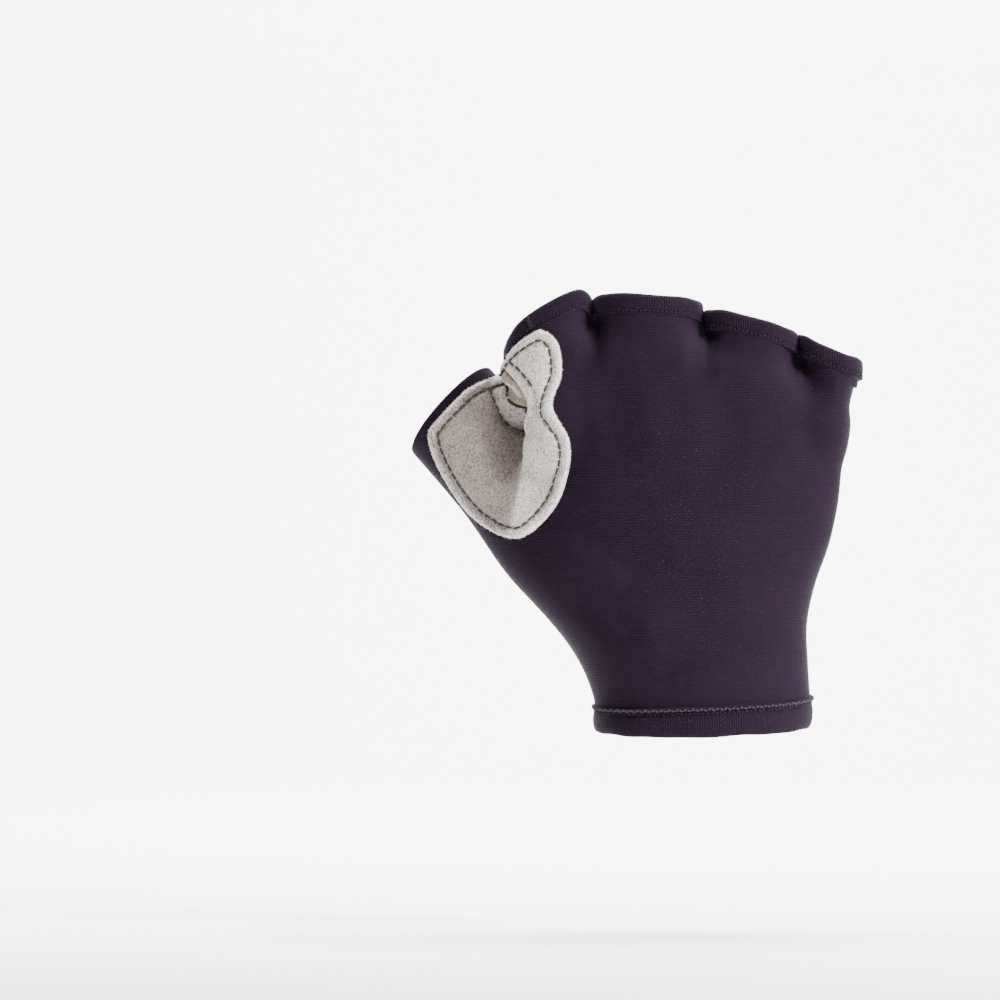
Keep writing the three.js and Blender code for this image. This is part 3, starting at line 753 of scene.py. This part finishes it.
profile = looped(wrist_hem_section, 56) / 1000
x, y = wrist_ring(profile[:, :1], profile[:, 1:], wrist_turns)
angle = circle(wrist_turns)
waver = 0.00014 * np.sin(4 * angle + 1) + 0.0001 * np.sin(9 * angle) + 0.00008 * np.sin(15 * angle + 2)
upturn = 0.0011 * smoothstep(-x, 0.0, 0.028) * (1 - np.clip(profile[:, 1:] / wrist_hem_height, 0, 1))
z = profile[:, 1:] + wrist_level(x, y) + waver + upturn
rings = np.stack([x, y, z], axis=2)
wrist_band, girth = hem_band("wrist_band", rings[::-1], rings[0])
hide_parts("wrist_hem")
wrist_stitch_line = wrist_line(grow=0.0002, up=0.0073)
wrist_edge_line = wrist_line(grow=0.0007, up=0.0083)

# Suede patches
# Split leather laid on the knit, cut raw. One piece covers the palm over a soft pad, the other laps
# from the back of the index finger through the thumb's crotch to the back of the thumb. They meet in
# a turned seam round the crotch, with a row of topstitching on each side of it.
suede_thickness = 0.0014
pad_thickness = 0.0024
web_swell = 0.0003
pad_ramp = 0.007
piece_gap = 0.0003
stitch_margin = 0.0030
seam_strip = 0.0033
thumb_strip = 0.0064
thumb_margin = 0.0028
edge_radius = 0.0008
seam_radius = 0.0014
furrow_depth = 0.00055
furrow_width = 0.0010
seam_reach = 0.031
seam_step = 0.00015

# Outlines in the front view: across is a share of the knuckle breadth, up of the glove's height.
palm_outline = {
    "across": [-0.772, -0.655, -0.535, -0.448, -0.32, -0.18, 0.0, 0.158, 0.262,
               0.322, 0.334, 0.272, 0.14, -0.02, -0.19, -0.35, -0.47, -0.60, -0.66],
    "up": [0.653, 0.506, 0.374, 0.297, 0.232, 0.19, 0.168, 0.184, 0.27,
           0.42, 0.59, 0.73, 0.842, 0.903, 0.93, 0.928, 0.90, 0.885, 0.80],
}
web_outline = {
    "across": [-0.581, -0.564, -0.52, -0.458, -0.406, -0.394, -0.418, -0.372, -0.375,
               -0.416, -0.511, -0.623, -0.708, -0.76, -0.742, -0.673, -0.603, -0.573],
    "up": [0.840, 0.854, 0.89, 0.915, 0.886, 0.815, 0.743, 0.666, 0.588,
           0.508, 0.446, 0.486, 0.573, 0.667, 0.733, 0.775, 0.804, 0.809],
}


def contours(patch, field, level):
    """Runs of places on a skin where a field has a level, each with the values of the skin's other
    fields. The level crosses two sides of a triangle, and the crossings are walked from one triangle
    to the next."""
    value = patch[field] - level
    triangles = patch["triangles"]
    ends = np.stack([triangles, np.roll(triangles, -1, axis=1)], axis=2)
    crossed = value[ends[..., 0]] * value[ends[..., 1]] < 0
    whole = crossed.sum(axis=1) == 2
    sides, which = np.unique(np.sort(ends[whole][crossed[whole]], axis=1), axis=0, return_inverse=True)
    share = value[sides[:, 0]] / (value[sides[:, 0]] - value[sides[:, 1]])
    held = {}
    for name, values in patch.items():
        if name != "triangles":
            part = share.reshape(-1, *[1] * (values.ndim - 1))
            held[name] = values[sides[:, 0]] * (1 - part) + values[sides[:, 1]] * part
    beside = {}
    for a, b in which.reshape(-1, 2).tolist():
        beside.setdefault(a, []).append(b)
        beside.setdefault(b, []).append(a)
    left = set(beside)
    runs = []
    while left:
        first = next((k for k in left if len(beside[k]) == 1), next(iter(left)))
        run = [first]
        left.discard(first)
        while onward := [k for k in beside[run[-1]] if k in left]:
            run.append(onward[0])
            left.discard(onward[0])
        if first in beside[run[-1]]:
            run.append(first)
        runs.append({name: values[run] for name, values in held.items()})
    return runs


def distance_to(places, points):
    """Distance from each point to the nearest of many places, worked out a block of points at a time."""
    blocks = np.array_split(points, max(len(points) // 2000, 1))
    return np.concatenate([
        np.sqrt(((block[:, None] - places[None]) ** 2).sum(axis=2).min(axis=1)) for block in blocks
    ])


def outline_of(table):
    """Places along an outline's rows on a smooth open line, which a straight line closes."""
    rows = np.stack([table["across"], table["up"]], axis=1) * [knuckle_breadth, glove_height]
    rows = np.concatenate([rows[:1], rows, rows[-1:]])
    at = np.linspace(0, len(rows) - 3, 10 * len(rows))
    i = np.minimum(at.astype(int), len(rows) - 4)
    return curved(*(rows[i + k] for k in range(4)), (at - i)[:, None])


def depth_inside(outline, x, z):
    """How far places lie inside a closed outline: the distance to its nearest side, negative where a
    line to the left crosses the outline an even number of times."""
    nearest = np.full(x.shape, np.inf)
    inside = np.zeros(x.shape, bool)
    for a, b in zip(outline, np.roll(outline, -1, axis=0)):
        away, _ = near_line(x, z, a, b) if (a != b).any() else (np.hypot(x - a[0], z - a[1]), 0)
        nearest = np.minimum(nearest, away)
        if a[1] != b[1]:
            inside ^= ((a[1] > z) != (b[1] > z)) & (x < a[0] + (z - a[1]) * (b[0] - a[0]) / (b[1] - a[1]))
    return np.where(inside, nearest, -nearest)


def rounded(depth, radius):
    """A quarter circle's rise from 0 at the edge to 1 at its radius."""
    return np.sqrt(1 - (1 - np.clip(depth / radius, 0, 1)) ** 2)


def read_at(line, lengths, at):
    """A line's places, or other values held along it, at given lengths."""
    return np.stack([np.interp(at, lengths, line[:, k]) for k in range(3)], axis=1)


seam_places = []
for run in contours(skin, "back_of_seam", 0.000001):
    place = run["points"]
    place = place[np.linalg.norm(place - crotch_point - [0, 0.005, 0.004], axis=1) < seam_reach]
    if len(place):
        lengths = run_lengths(place)
        seam_places.append(read_at(place, lengths, np.arange(0, lengths[-1], seam_step)))
seam_places = np.concatenate(seam_places)


def leather(name, outline, side, padding):
    """A patch cut from the glove's skin and raised off it. The rise is the leather's thickness with a
    rounded edge, a pad that swells inside the stitches, and a furrow under each row of stitches."""
    patch = dict(skin)
    x, y, z = patch["points"].T
    hand_cut = 0.00005 * np.sin(x * 1900 + 3 * np.sin(z * 700)) + 0.00004 * np.sin(z * 2600 + x * 1300)
    patch["edge"] = depth_inside(outline, x, z) + hand_cut
    patch["on_side"] = side * patch["back_of_seam"]
    patch["hem_edge"] = patch["under_hems"] - hem_lap - 2 * piece_gap
    patch["rim_edge"] = patch["in_thumb"] - thumb_margin
    patch["cut"] = np.minimum.reduce([patch[field] for field in ("edge", "hem_edge", "rim_edge")])
    for field in ("edge", "on_side", "hem_edge", "rim_edge"):
        patch = kept_above(patch, field)
    aside = np.minimum(distance_to(seam_places, patch["points"]), 0.02)
    wider = smoothstep(-patch["thumb_across"], -0.001, 0.002) if side > 0 else 0.0
    patch["seam"] = aside / (1 + wider * (thumb_strip / seam_strip - 1))
    patch = kept_above(patch, "seam", piece_gap / 2)
    for level in (0.00015, 0.0004, 0.0008, stitch_margin - 0.0005, stitch_margin, stitch_margin + 0.0005):
        patch = split_at(patch, "cut", level)
    for level in (0.0002, 0.0006, 0.0012, seam_strip - 0.0005, seam_strip, seam_strip + 0.0005):
        patch = split_at(patch, "seam", level)
    swell = smoothstep(patch["cut"], stitch_margin, stitch_margin + pad_ramp)
    swell *= smoothstep(patch["seam"], seam_strip, seam_strip + pad_ramp)
    thick = suede_thickness * (0.3 + 0.7 * rounded(patch["cut"], edge_radius))
    thick *= 0.25 + 0.75 * rounded(patch["seam"], seam_radius)
    by_cut = bell(patch["cut"] - stitch_margin, furrow_width)
    by_seam = bell(patch["seam"] - seam_strip, furrow_width)
    lift = thick - furrow_depth * np.maximum(by_cut, by_seam) + padding(patch) * swell
    fall = 0.5 * patch["fall"] * smoothstep(patch["cut"], 0, 0.01) + patch["crease"]
    base = patch["points"] - patch["normals"] * fall[:, None]
    patch["outside"] = base + patch["normals"] * (piece_gap + lift)[:, None]
    inside = base + patch["normals"] * (0.5 * piece_gap)
    points, triangles = walled(patch["outside"], inside, patch["triangles"])
    # Painted shade: the web's leather is darkened on the thumb's side of the crease, most near its line,
    # where the hand's side would shade it.
    beside, up = patch["beside_crease"], patch["points"][:, 2] / glove_height
    crease_shade = 1 - smoothstep(beside, -0.0016, 0.0002)
    crease_shade *= 1 - smoothstep(patch["thumb_across"], -0.001, 0.0005)
    crease_shade *= smoothstep(patch["seam"], seam_strip - 0.0008, seam_strip + 0.0002)
    crease_shade *= 0.80 + 0.20 * smoothstep(beside, -0.026, -0.003) * smoothstep(up, 0.42, 0.64)
    # The palm's leather shows raw by the seam: browner as raw leather, and darker with painted shade of the
    # seam's recess.
    raw_and_shade = 1 - smoothstep(patch["normals"][:, 1], -0.2, 0.3)
    raw_and_shade *= 1 - smoothstep(patch["seam"], 0.0025, 0.005)
    held = {
        "cut": patch["cut"],
        "seam": patch["seam"],
        "painted_crease_shade": crease_shade * (side > 0),
        "raw_and_shade": raw_and_shade * (side < 0),
    }
    double = {label: np.tile(values, 2) for label, values in held.items()}
    return piece_of(name, points, triangles, double), patch


def palm_padding(patch):
    """The pad under the palm suede, which thins out towards the thumb."""
    start = crotch_point[0]
    return pad_thickness * smoothstep(patch["points"][:, 0], start, start + 3 * pad_ramp)


palm_edge = outline_of(palm_outline)
web_edge = outline_of(web_outline)
palm_patch, palm_skin = leather("palm_patch", palm_edge, -1, palm_padding)
web_patch, web_skin = leather("web_patch", web_edge, 1, lambda patch: web_swell)
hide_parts("palm_suede")
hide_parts("web_suede")


def suede_nap():
    """Node group of split leather. Grain is fine noise over coarser noise, and Mottle is cloudy."""
    sockets = {"Position": "NodeSocketVector", "Scale": "NodeSocketFloat"}
    tree, into, out = new_group("Suede nap", sockets, ["Grain", "Mottle"])
    made = {}
    for label, scale, detail in (("fine", 2100, 2), ("coarse", 640, 2), ("cloud", 90, 4)):
        scale = worked(tree, "MULTIPLY", into["Scale"], scale)
        sockets = {"Scale": scale, "Detail": detail, "Vector": into["Position"]}
        made[label] = added(tree, "TexNoise", sockets)[0]
    grain = worked(tree, "MULTIPLY_ADD", made["coarse"], 0.25, made["fine"])
    tree.links.new(grain, out["Grain"])
    tree.links.new(made["cloud"], out["Mottle"])
    return tree


nap = suede_nap()
suede_pale = (0.55, 0.50, 0.465, 1)
suede_dark = (0.19, 0.165, 0.15, 1)
suede_cut = (0.82, 0.79, 0.76, 1)
# Painted shade: the tint that darkens the thumb's side of the web's crease.
suede_crease_shade = (0.41, 0.37, 0.365, 1)
# Raw leather brown, darkened as well with painted shade of the seam's recess.
suede_raw_and_shade = (0.42, 0.36, 0.28, 1)
suede_sheen = (0.95, 0.92, 0.88, 1)
grain_contrast = 3.0
grain_start = -1.78
mottle_share = 0.6
# Painted shade in the stitch furrows and along the seam: its width and strength.
furrow_shade_width = 0.0011
furrow_shade_share = 0.28
fuzz_width = 0.0019
fuzz_top = 1.25
fuzz_share = 0.6
nap_relief = 0.0005


def suede_material():
    """Light warm grey split leather: mottled, with painted shade in the stitch furrows and along the seam,
    whiter and fuzzy at the cut.
    """
    material, tree, shader = new_material("Split suede")
    place = added(tree, "TexCoord", {})["Object"]
    grain = added(tree, "Group", {"Scale": 1, "Position": place}, node_tree=nap)
    shade = worked(tree, "MULTIPLY_ADD", grain["Grain"], grain_contrast, grain_start)
    shade = worked(tree, "MULTIPLY_ADD", grain["Mottle"], mottle_share, shade)
    cut, seam = value_of(tree, "cut"), value_of(tree, "seam")
    # Painted shade: darker within a band along each row of stitches and along the seam itself.
    for source, centre in ((cut, stitch_margin), (seam, seam_strip), (seam, 0.0)):
        off = worked(tree, "ABSOLUTE", worked(tree, "SUBTRACT", source, centre))
        near = worked(tree, "SUBTRACT", 1, worked(tree, "DIVIDE", off, furrow_shade_width))
        shade = worked(tree, "MULTIPLY_ADD", worked(tree, "MAXIMUM", near, 0), furrow_shade_share, shade)
    colour = mixed(tree, shade, suede_pale, suede_dark)
    # Multiplies in the painted crease shade on the web, and on the palm the raw leather's brown with
    # painted shade of the seam's recess.
    for label, tint in (("painted_crease_shade", suede_crease_shade), ("raw_and_shade", suede_raw_and_shade)):
        colour = mixed(tree, value_of(tree, label), colour, tint, "MULTIPLY")
    fuzz = worked(tree, "ADD", worked(tree, "DIVIDE", cut, fuzz_width), shade)
    fuzz = worked(tree, "MULTIPLY", worked(tree, "SUBTRACT", fuzz_top, fuzz), fuzz_share)
    relief = {"Strength": 1.0, "Distance": nap_relief, "Height": grain["Grain"]}
    plug(tree, shader, {
        "Base Color": mixed(tree, fuzz, colour, suede_cut),
        "Normal": added(tree, "Bump", relief)["Normal"],
        "Roughness": 0.95,
        "Specular IOR Level": 0.15,
        "Sheen Weight": 0.1,
        "Sheen Roughness": 0.6,
        "Sheen Tint": suede_sheen,
    })
    return material


suede = suede_material()
for patch in (palm_patch, web_patch):
    patch.data.materials.append(suede)

# Stitches of the suede
# Dark twisted sewing thread. Lockstitches run round each patch inside its cut edge and along both
# sides of the seam, and shorter and thicker ones cross the seam's ends and close it at the crotch.
thread_radius = 0.00023
stitch_pitch = 0.0027
stitch_length = 0.0026
shortest_row = 0.002


def stitches(centres, tangents, normals, length, radius):
    """Joined short threads. Each is a round section carried along a flat arch that dips at both
    ends, so its middle stands a radius out of the leather."""
    stations, sides = 7, 7
    s = np.linspace(-1, 1, stations)[None, :, None, None]
    turn = circle(sides)[None, None, :, None]
    swell = radius * np.maximum(1 - np.abs(s) ** 5, 0.4)
    arch = radius * (1.0 - 2.4 * s**6)
    binormals = unit(np.cross(tangents, normals))
    t, n, b, c = (v[:, None, None, :] for v in (tangents, normals, binormals, centres))
    points = c + t * s * length / 2 + n * (arch + swell * np.cos(turn)) + b * swell * np.sin(turn) * 1.15
    ring, side = np.meshgrid(np.arange(stations - 1), np.arange(sides), indexing="ij")
    a, d = ring * sides + side, ring * sides + (side + 1) % sides
    quads = np.stack([a, d, d + sides, a + sides], axis=-1).reshape(-1, 4)
    fan = np.stack([np.zeros(sides - 2, int), np.arange(2, sides), np.arange(1, sides - 1)], axis=1)
    end = fan[:, ::-1] + (stations - 1) * sides
    one = np.concatenate([halved(quads), fan, end])
    each = np.arange(len(centres))[:, None, None] * stations * sides
    return points.reshape(-1, 3), (one[None] + each).reshape(-1, 3)


def evenly(line, pitch):
    """Places a pitch apart along a line, the line's direction there, and how far along they lie."""
    lengths = run_lengths(line)
    count = max(int(lengths[-1] / pitch), 1)
    at = (np.arange(count) + 0.5) * lengths[-1] / count
    behind, place, ahead = (read_at(line, lengths, at + way * pitch) for way in (-0.4, 0, 0.4))
    return place, unit(ahead - behind), at


def along_run(run, pitch):
    """Places a pitch apart along a run on a patch, with the run's direction and the leather's own."""
    place, tangent, at = evenly(run["outside"], pitch)
    normal = read_at(run["normals"], run_lengths(run["outside"]), at)
    return place, tangent, unit(normal - tangent * np.sum(normal * tangent, axis=1, keepdims=True))


def kept_parts(runs, good):
    """The unbroken parts of runs for which a test holds, if they are long enough to be sewn."""
    kept = []
    for run in runs:
        keep = good(run)
        for part in np.split(np.arange(len(keep)), np.flatnonzero(np.diff(keep.astype(int))) + 1):
            if keep[part[0]] and run_lengths(run["outside"][part])[-1] > shortest_row:
                kept.append({name: values[part] for name, values in run.items()})
    return kept


thread_parts = []


def sew(run, pitch, length, radius):
    """Adds a row of stitches along a run of places on a patch."""
    place, tangent, normal = along_run(run, pitch)
    thread_parts.append(stitches(place + 0.5 * radius * normal, tangent, normal, length, radius))


just_past = 0.00003
bar_radius = 0.00036
seam_thread_edge = 0.00055
fold_top = 0.785 * glove_height
for patch, shows in (
    (palm_skin, lambda run: run["normals"][:, 1] > 0.1),
    (web_skin, lambda run: (run["beside_crease"] < -0.0002) | (run["points"][:, 2] > fold_top)),
):
    border = contours(patch, "cut", stitch_margin + just_past)
    strip = contours(patch, "seam", seam_strip + just_past)
    rows = kept_parts(border, lambda run: run["seam"] > 0.8 * seam_strip)
    rows += kept_parts(strip, lambda run: (run["cut"] > 0.9 * stitch_margin) & shows(run))
    for run in rows:
        sew(run, stitch_pitch, stitch_length, thread_radius)
    for run in kept_parts(border, lambda run: (run["seam"] < seam_strip) & (run["seam"] > 0.0005)):
        sew(run, 0.6 * stitch_pitch, 0.75 * stitch_length, bar_radius)


def by_crotch(run):
    """Where the seam itself is sewn tight with thick thread: beside the thumb, above the crotch."""
    above = run["points"][:, 2] - crotch_point[2]
    return (np.abs(run["thumb_across"]) < 0.002) & (above > 0.001) & (above < 0.0095)


for run in kept_parts(contours(web_skin, "seam", seam_thread_edge), by_crotch):
    sew(run, 0.5 * stitch_pitch, 0.62 * stitch_length, bar_radius)


def joined(parts):
    """Points and triangles of several meshes as one."""
    starts = np.cumsum([0] + [len(points) for points, _ in parts[:-1]])
    points = np.concatenate([points for points, _ in parts])
    return points, np.concatenate([faces + start for (_, faces), start in zip(parts, starts)])


def thread_piece(name, parts, material_name, dark, light):
    """A piece of twisted sewing thread: two tones that turn with fine noise, and little gloss."""
    piece = piece_of(name, *joined(parts), {})
    material, tree, shader = new_material(material_name)
    place = added(tree, "TexCoord", {})["Object"]
    twist = added(tree, "TexNoise", {"Scale": 2200, "Vector": place})[0]
    colour = mixed(tree, twist, dark, light)
    plug(tree, shader, {"Base Color": colour, "Roughness": 0.7, "Specular IOR Level": 0.25})
    piece.data.materials.append(material)
    return piece


dark_thread = ((0.012, 0.009, 0.009, 1), (0.04, 0.03, 0.027, 1))
patch_thread = thread_piece("patch_thread", thread_parts, "Dark thread", *dark_thread)

# Fibres of the suede
# Loose fibres of the split leather that stand out of its raw cut edges. Each is a short spike of
# three sides, thinner than the thread, which leans at random.
fibre_spacing = 0.00011
fibre_radius = 0.00007
fibre_lengths = (0.0003, 0.0009)
fibre_depths = (-0.0007, 0.0001)
chance = np.random.default_rng(7)
fibre_parts = []
for patch, outline in ((palm_skin, palm_edge), (web_skin, web_edge)):
    for run in kept_parts(contours(patch, "cut", 0.00011), lambda run: run["seam"] > 0.0006):
        place, tangent, normal = along_run(run, fibre_spacing)
        away = np.cross(tangent, normal)
        ahead = place + 0.0006 * away
        here, there = (depth_inside(outline, spot[:, 0], spot[:, 2]) for spot in (place, ahead))
        away = away * (1 if (here - there).mean() > 0 else -1)
        low_in = chance.uniform(*fibre_depths, len(place))[:, None]
        length = chance.uniform(*fibre_lengths, len(place))[:, None]
        lean = chance.uniform(-0.9, 0.9, (2, len(place), 1))
        point_to = unit(away + lean[0] * tangent + 0.5 * lean[1] * normal)
        foot = place + low_in * normal - 0.0001 * away
        side_one = unit(np.cross(point_to, normal))
        side_two = np.cross(point_to, side_one)
        turns = circle(3)[None, :, None]
        base = side_one[:, None] * np.cos(turns) + side_two[:, None] * np.sin(turns)
        tip = foot + length * point_to
        spike = np.concatenate([foot[:, None] + fibre_radius * base, tip[:, None]], axis=1)
        faces = np.array([[0, 1, 3], [1, 2, 3], [2, 0, 3], [0, 2, 1]])
        each = 4 * np.arange(len(place))[:, None, None]
        fibre_parts.append((spike.reshape(-1, 3), (faces[None] + each).reshape(-1, 3)))
points, triangles = joined(fibre_parts)
edge_fibres = piece_of("edge_fibres", points, triangles, {
    "cut": np.zeros(len(points)),
    "seam": np.full(len(points), 0.02),
    "painted_crease_shade": np.zeros(len(points)),
    "raw_and_shade": np.zeros(len(points)),
})
edge_fibres.data.materials.append(suede)

# Stitches of the hems
# Cover stitches of dark thread on the fold of every hem. Their legs lean one way and the other along
# the line, a little unevenly, and a few longer ones close the index hem's join.
thread_parts = []
index_join = -0.492


def cover(line, pitch, step, radius, share):
    """Adds a row of leaning stitches along a closed line round a hem."""
    line = np.concatenate([line, line[:1]])
    place, tangent, _ = evenly(line, pitch)
    normal = unit(slope_of(glove_form, place) * [1, 1, 0])
    rise = np.where(np.arange(len(place)) % 2, 1.0, -1.0)[:, None] * [0, 0, 1]
    leaning = unit(tangent + 0.55 * rise * chance.uniform(0.3, 1.0, (len(place), 1)))
    thread_parts.append(stitches(place + 0.2 * step * rise, leaning, normal, share * pitch, radius))


for line in hem_stitch_lines:
    cover(line, pitch=0.0013, step=0.00035, radius=0.00016, share=0.92)
cover(wrist_stitch_line, pitch=0.0013, step=0.0004, radius=0.0002, share=0.95)
# The index hem's ends meet in a join that slants across the band on the back.
down = np.linspace(0.0008, 0.0045, 6)
x = index_join * knuckle_breadth + 0.35 * down
centre, half, depth = opening(0)
y = -depth * (1 - np.abs((x - centre) / half) ** finger_power) ** (1 / finger_power) - 0.0003
place = np.stack([x, y, rim_height(x) - down], axis=1)
normal = unit(slope_of(glove_form, place) * [1, 1, 0])
across_band = np.tile(unit(np.array([0.9, 0.0, 0.45])), (len(place), 1))
thread_parts.append(stitches(place, across_band, normal, length=0.0017, radius=0.00024))
black_thread = ((0.0012, 0.0005, 0.0015, 1), (0.007, 0.0035, 0.009, 1))
hem_thread = thread_piece("hem_thread", thread_parts, "Hem thread", *black_thread)

# Whipped edge of the wrist band
# The band's upper edge is whipped over to the knit with a slacker, paler thread, whose thick loops
# stand a little out of the cloth.
thread_parts = []
cover(wrist_edge_line, pitch=0.0012, step=0.0005, radius=0.00024, share=1.05)
pale_thread = ((0.010, 0.005, 0.012, 1), (0.045, 0.028, 0.052, 1))
edge_thread = thread_piece("edge_thread", thread_parts, "Edge thread", *pale_thread)

# Studio
# A pale paper sweep behind and below the glove, a soft key light from the right, weaker ones from the
# left and above, one for the paper alone, and an even pale sky. The camera looks straight at the back.
view_middle = (-0.0606, 0.0705)
view_distance = 2.0
floor_level = -0.06
floor_end = 1.1
bend_radius = 0.35
bend = np.linspace(0, np.pi / 2, 16)
sweep_depths = np.concatenate([[-1.6], floor_end + bend_radius * np.sin(bend), [floor_end + bend_radius]])
sweep_heights = floor_level + np.concatenate([[0], bend_radius * (1 - np.cos(bend)), [1.6]])
across = np.linspace(-2.2, 2.2, 9)
grid_x, grid_y = np.meshgrid(across, sweep_depths)
_, grid_z = np.meshgrid(across, sweep_heights)
r, c = np.meshgrid(np.arange(len(sweep_depths) - 1), np.arange(len(across) - 1), indexing="ij")
a = r * len(across) + c
quads = np.stack([a, a + 1, a + len(across) + 1, a + len(across)], axis=-1).reshape(-1, 4)
sweep_mesh = bpy.data.meshes.new("studio_sweep")
corners = np.stack([grid_x, grid_y, grid_z], axis=-1).reshape(-1, 3)
sweep_mesh.from_pydata(corners.tolist(), [], quads.tolist())
sweep_mesh.shade_smooth()
sweep = put_in("studio_sweep", sweep_mesh)
paper, tree, shader = new_material("Pale paper")
plug(tree, shader, {"Base Color": (0.92, 0.92, 0.92, 1), "Roughness": 0.9})
sweep_mesh.materials.append(paper)

glove_middle = (view_middle[0], 0.0, view_middle[1])
paper_middle = (0.0, 1.45, 0.55)
for name, place, target, size, power in (
    ("key_light", (0.85, -0.55, 0.60), glove_middle, 0.3, 44),
    ("fill_light", (-0.6, -1.0, 0.35), glove_middle, 0.8, 2),
    ("top_light", (0.1, -0.1, 1.1), glove_middle, 0.6, 5),
    ("sweep_light", (0.0, 0.45, 1.3), paper_middle, 1.5, 190),
):
    lamp = bpy.data.lights.new(name, "AREA")
    lamp.size = size
    lamp.energy = power
    holder = put_in(name, lamp)
    holder.location = place
    holder.rotation_euler = (Vector(target) - Vector(place)).to_track_quat("-Z", "Y").to_euler()

world = bpy.data.worlds.new("Pale room")
world.use_nodes = True
sky = world.node_tree.nodes["Background"]
plug(world.node_tree, sky, {"Color": (1, 1, 1, 1), "Strength": 0.08})
bpy.context.scene.world = world

lens = bpy.data.cameras.new("camera")
lens.lens = 240
lens.sensor_width = 36
camera = put_in("camera", lens)
camera.location = (view_middle[0], -view_distance, view_middle[1])
camera.rotation_euler = (np.pi / 2, 0, 0)
bpy.context.scene.camera = camera
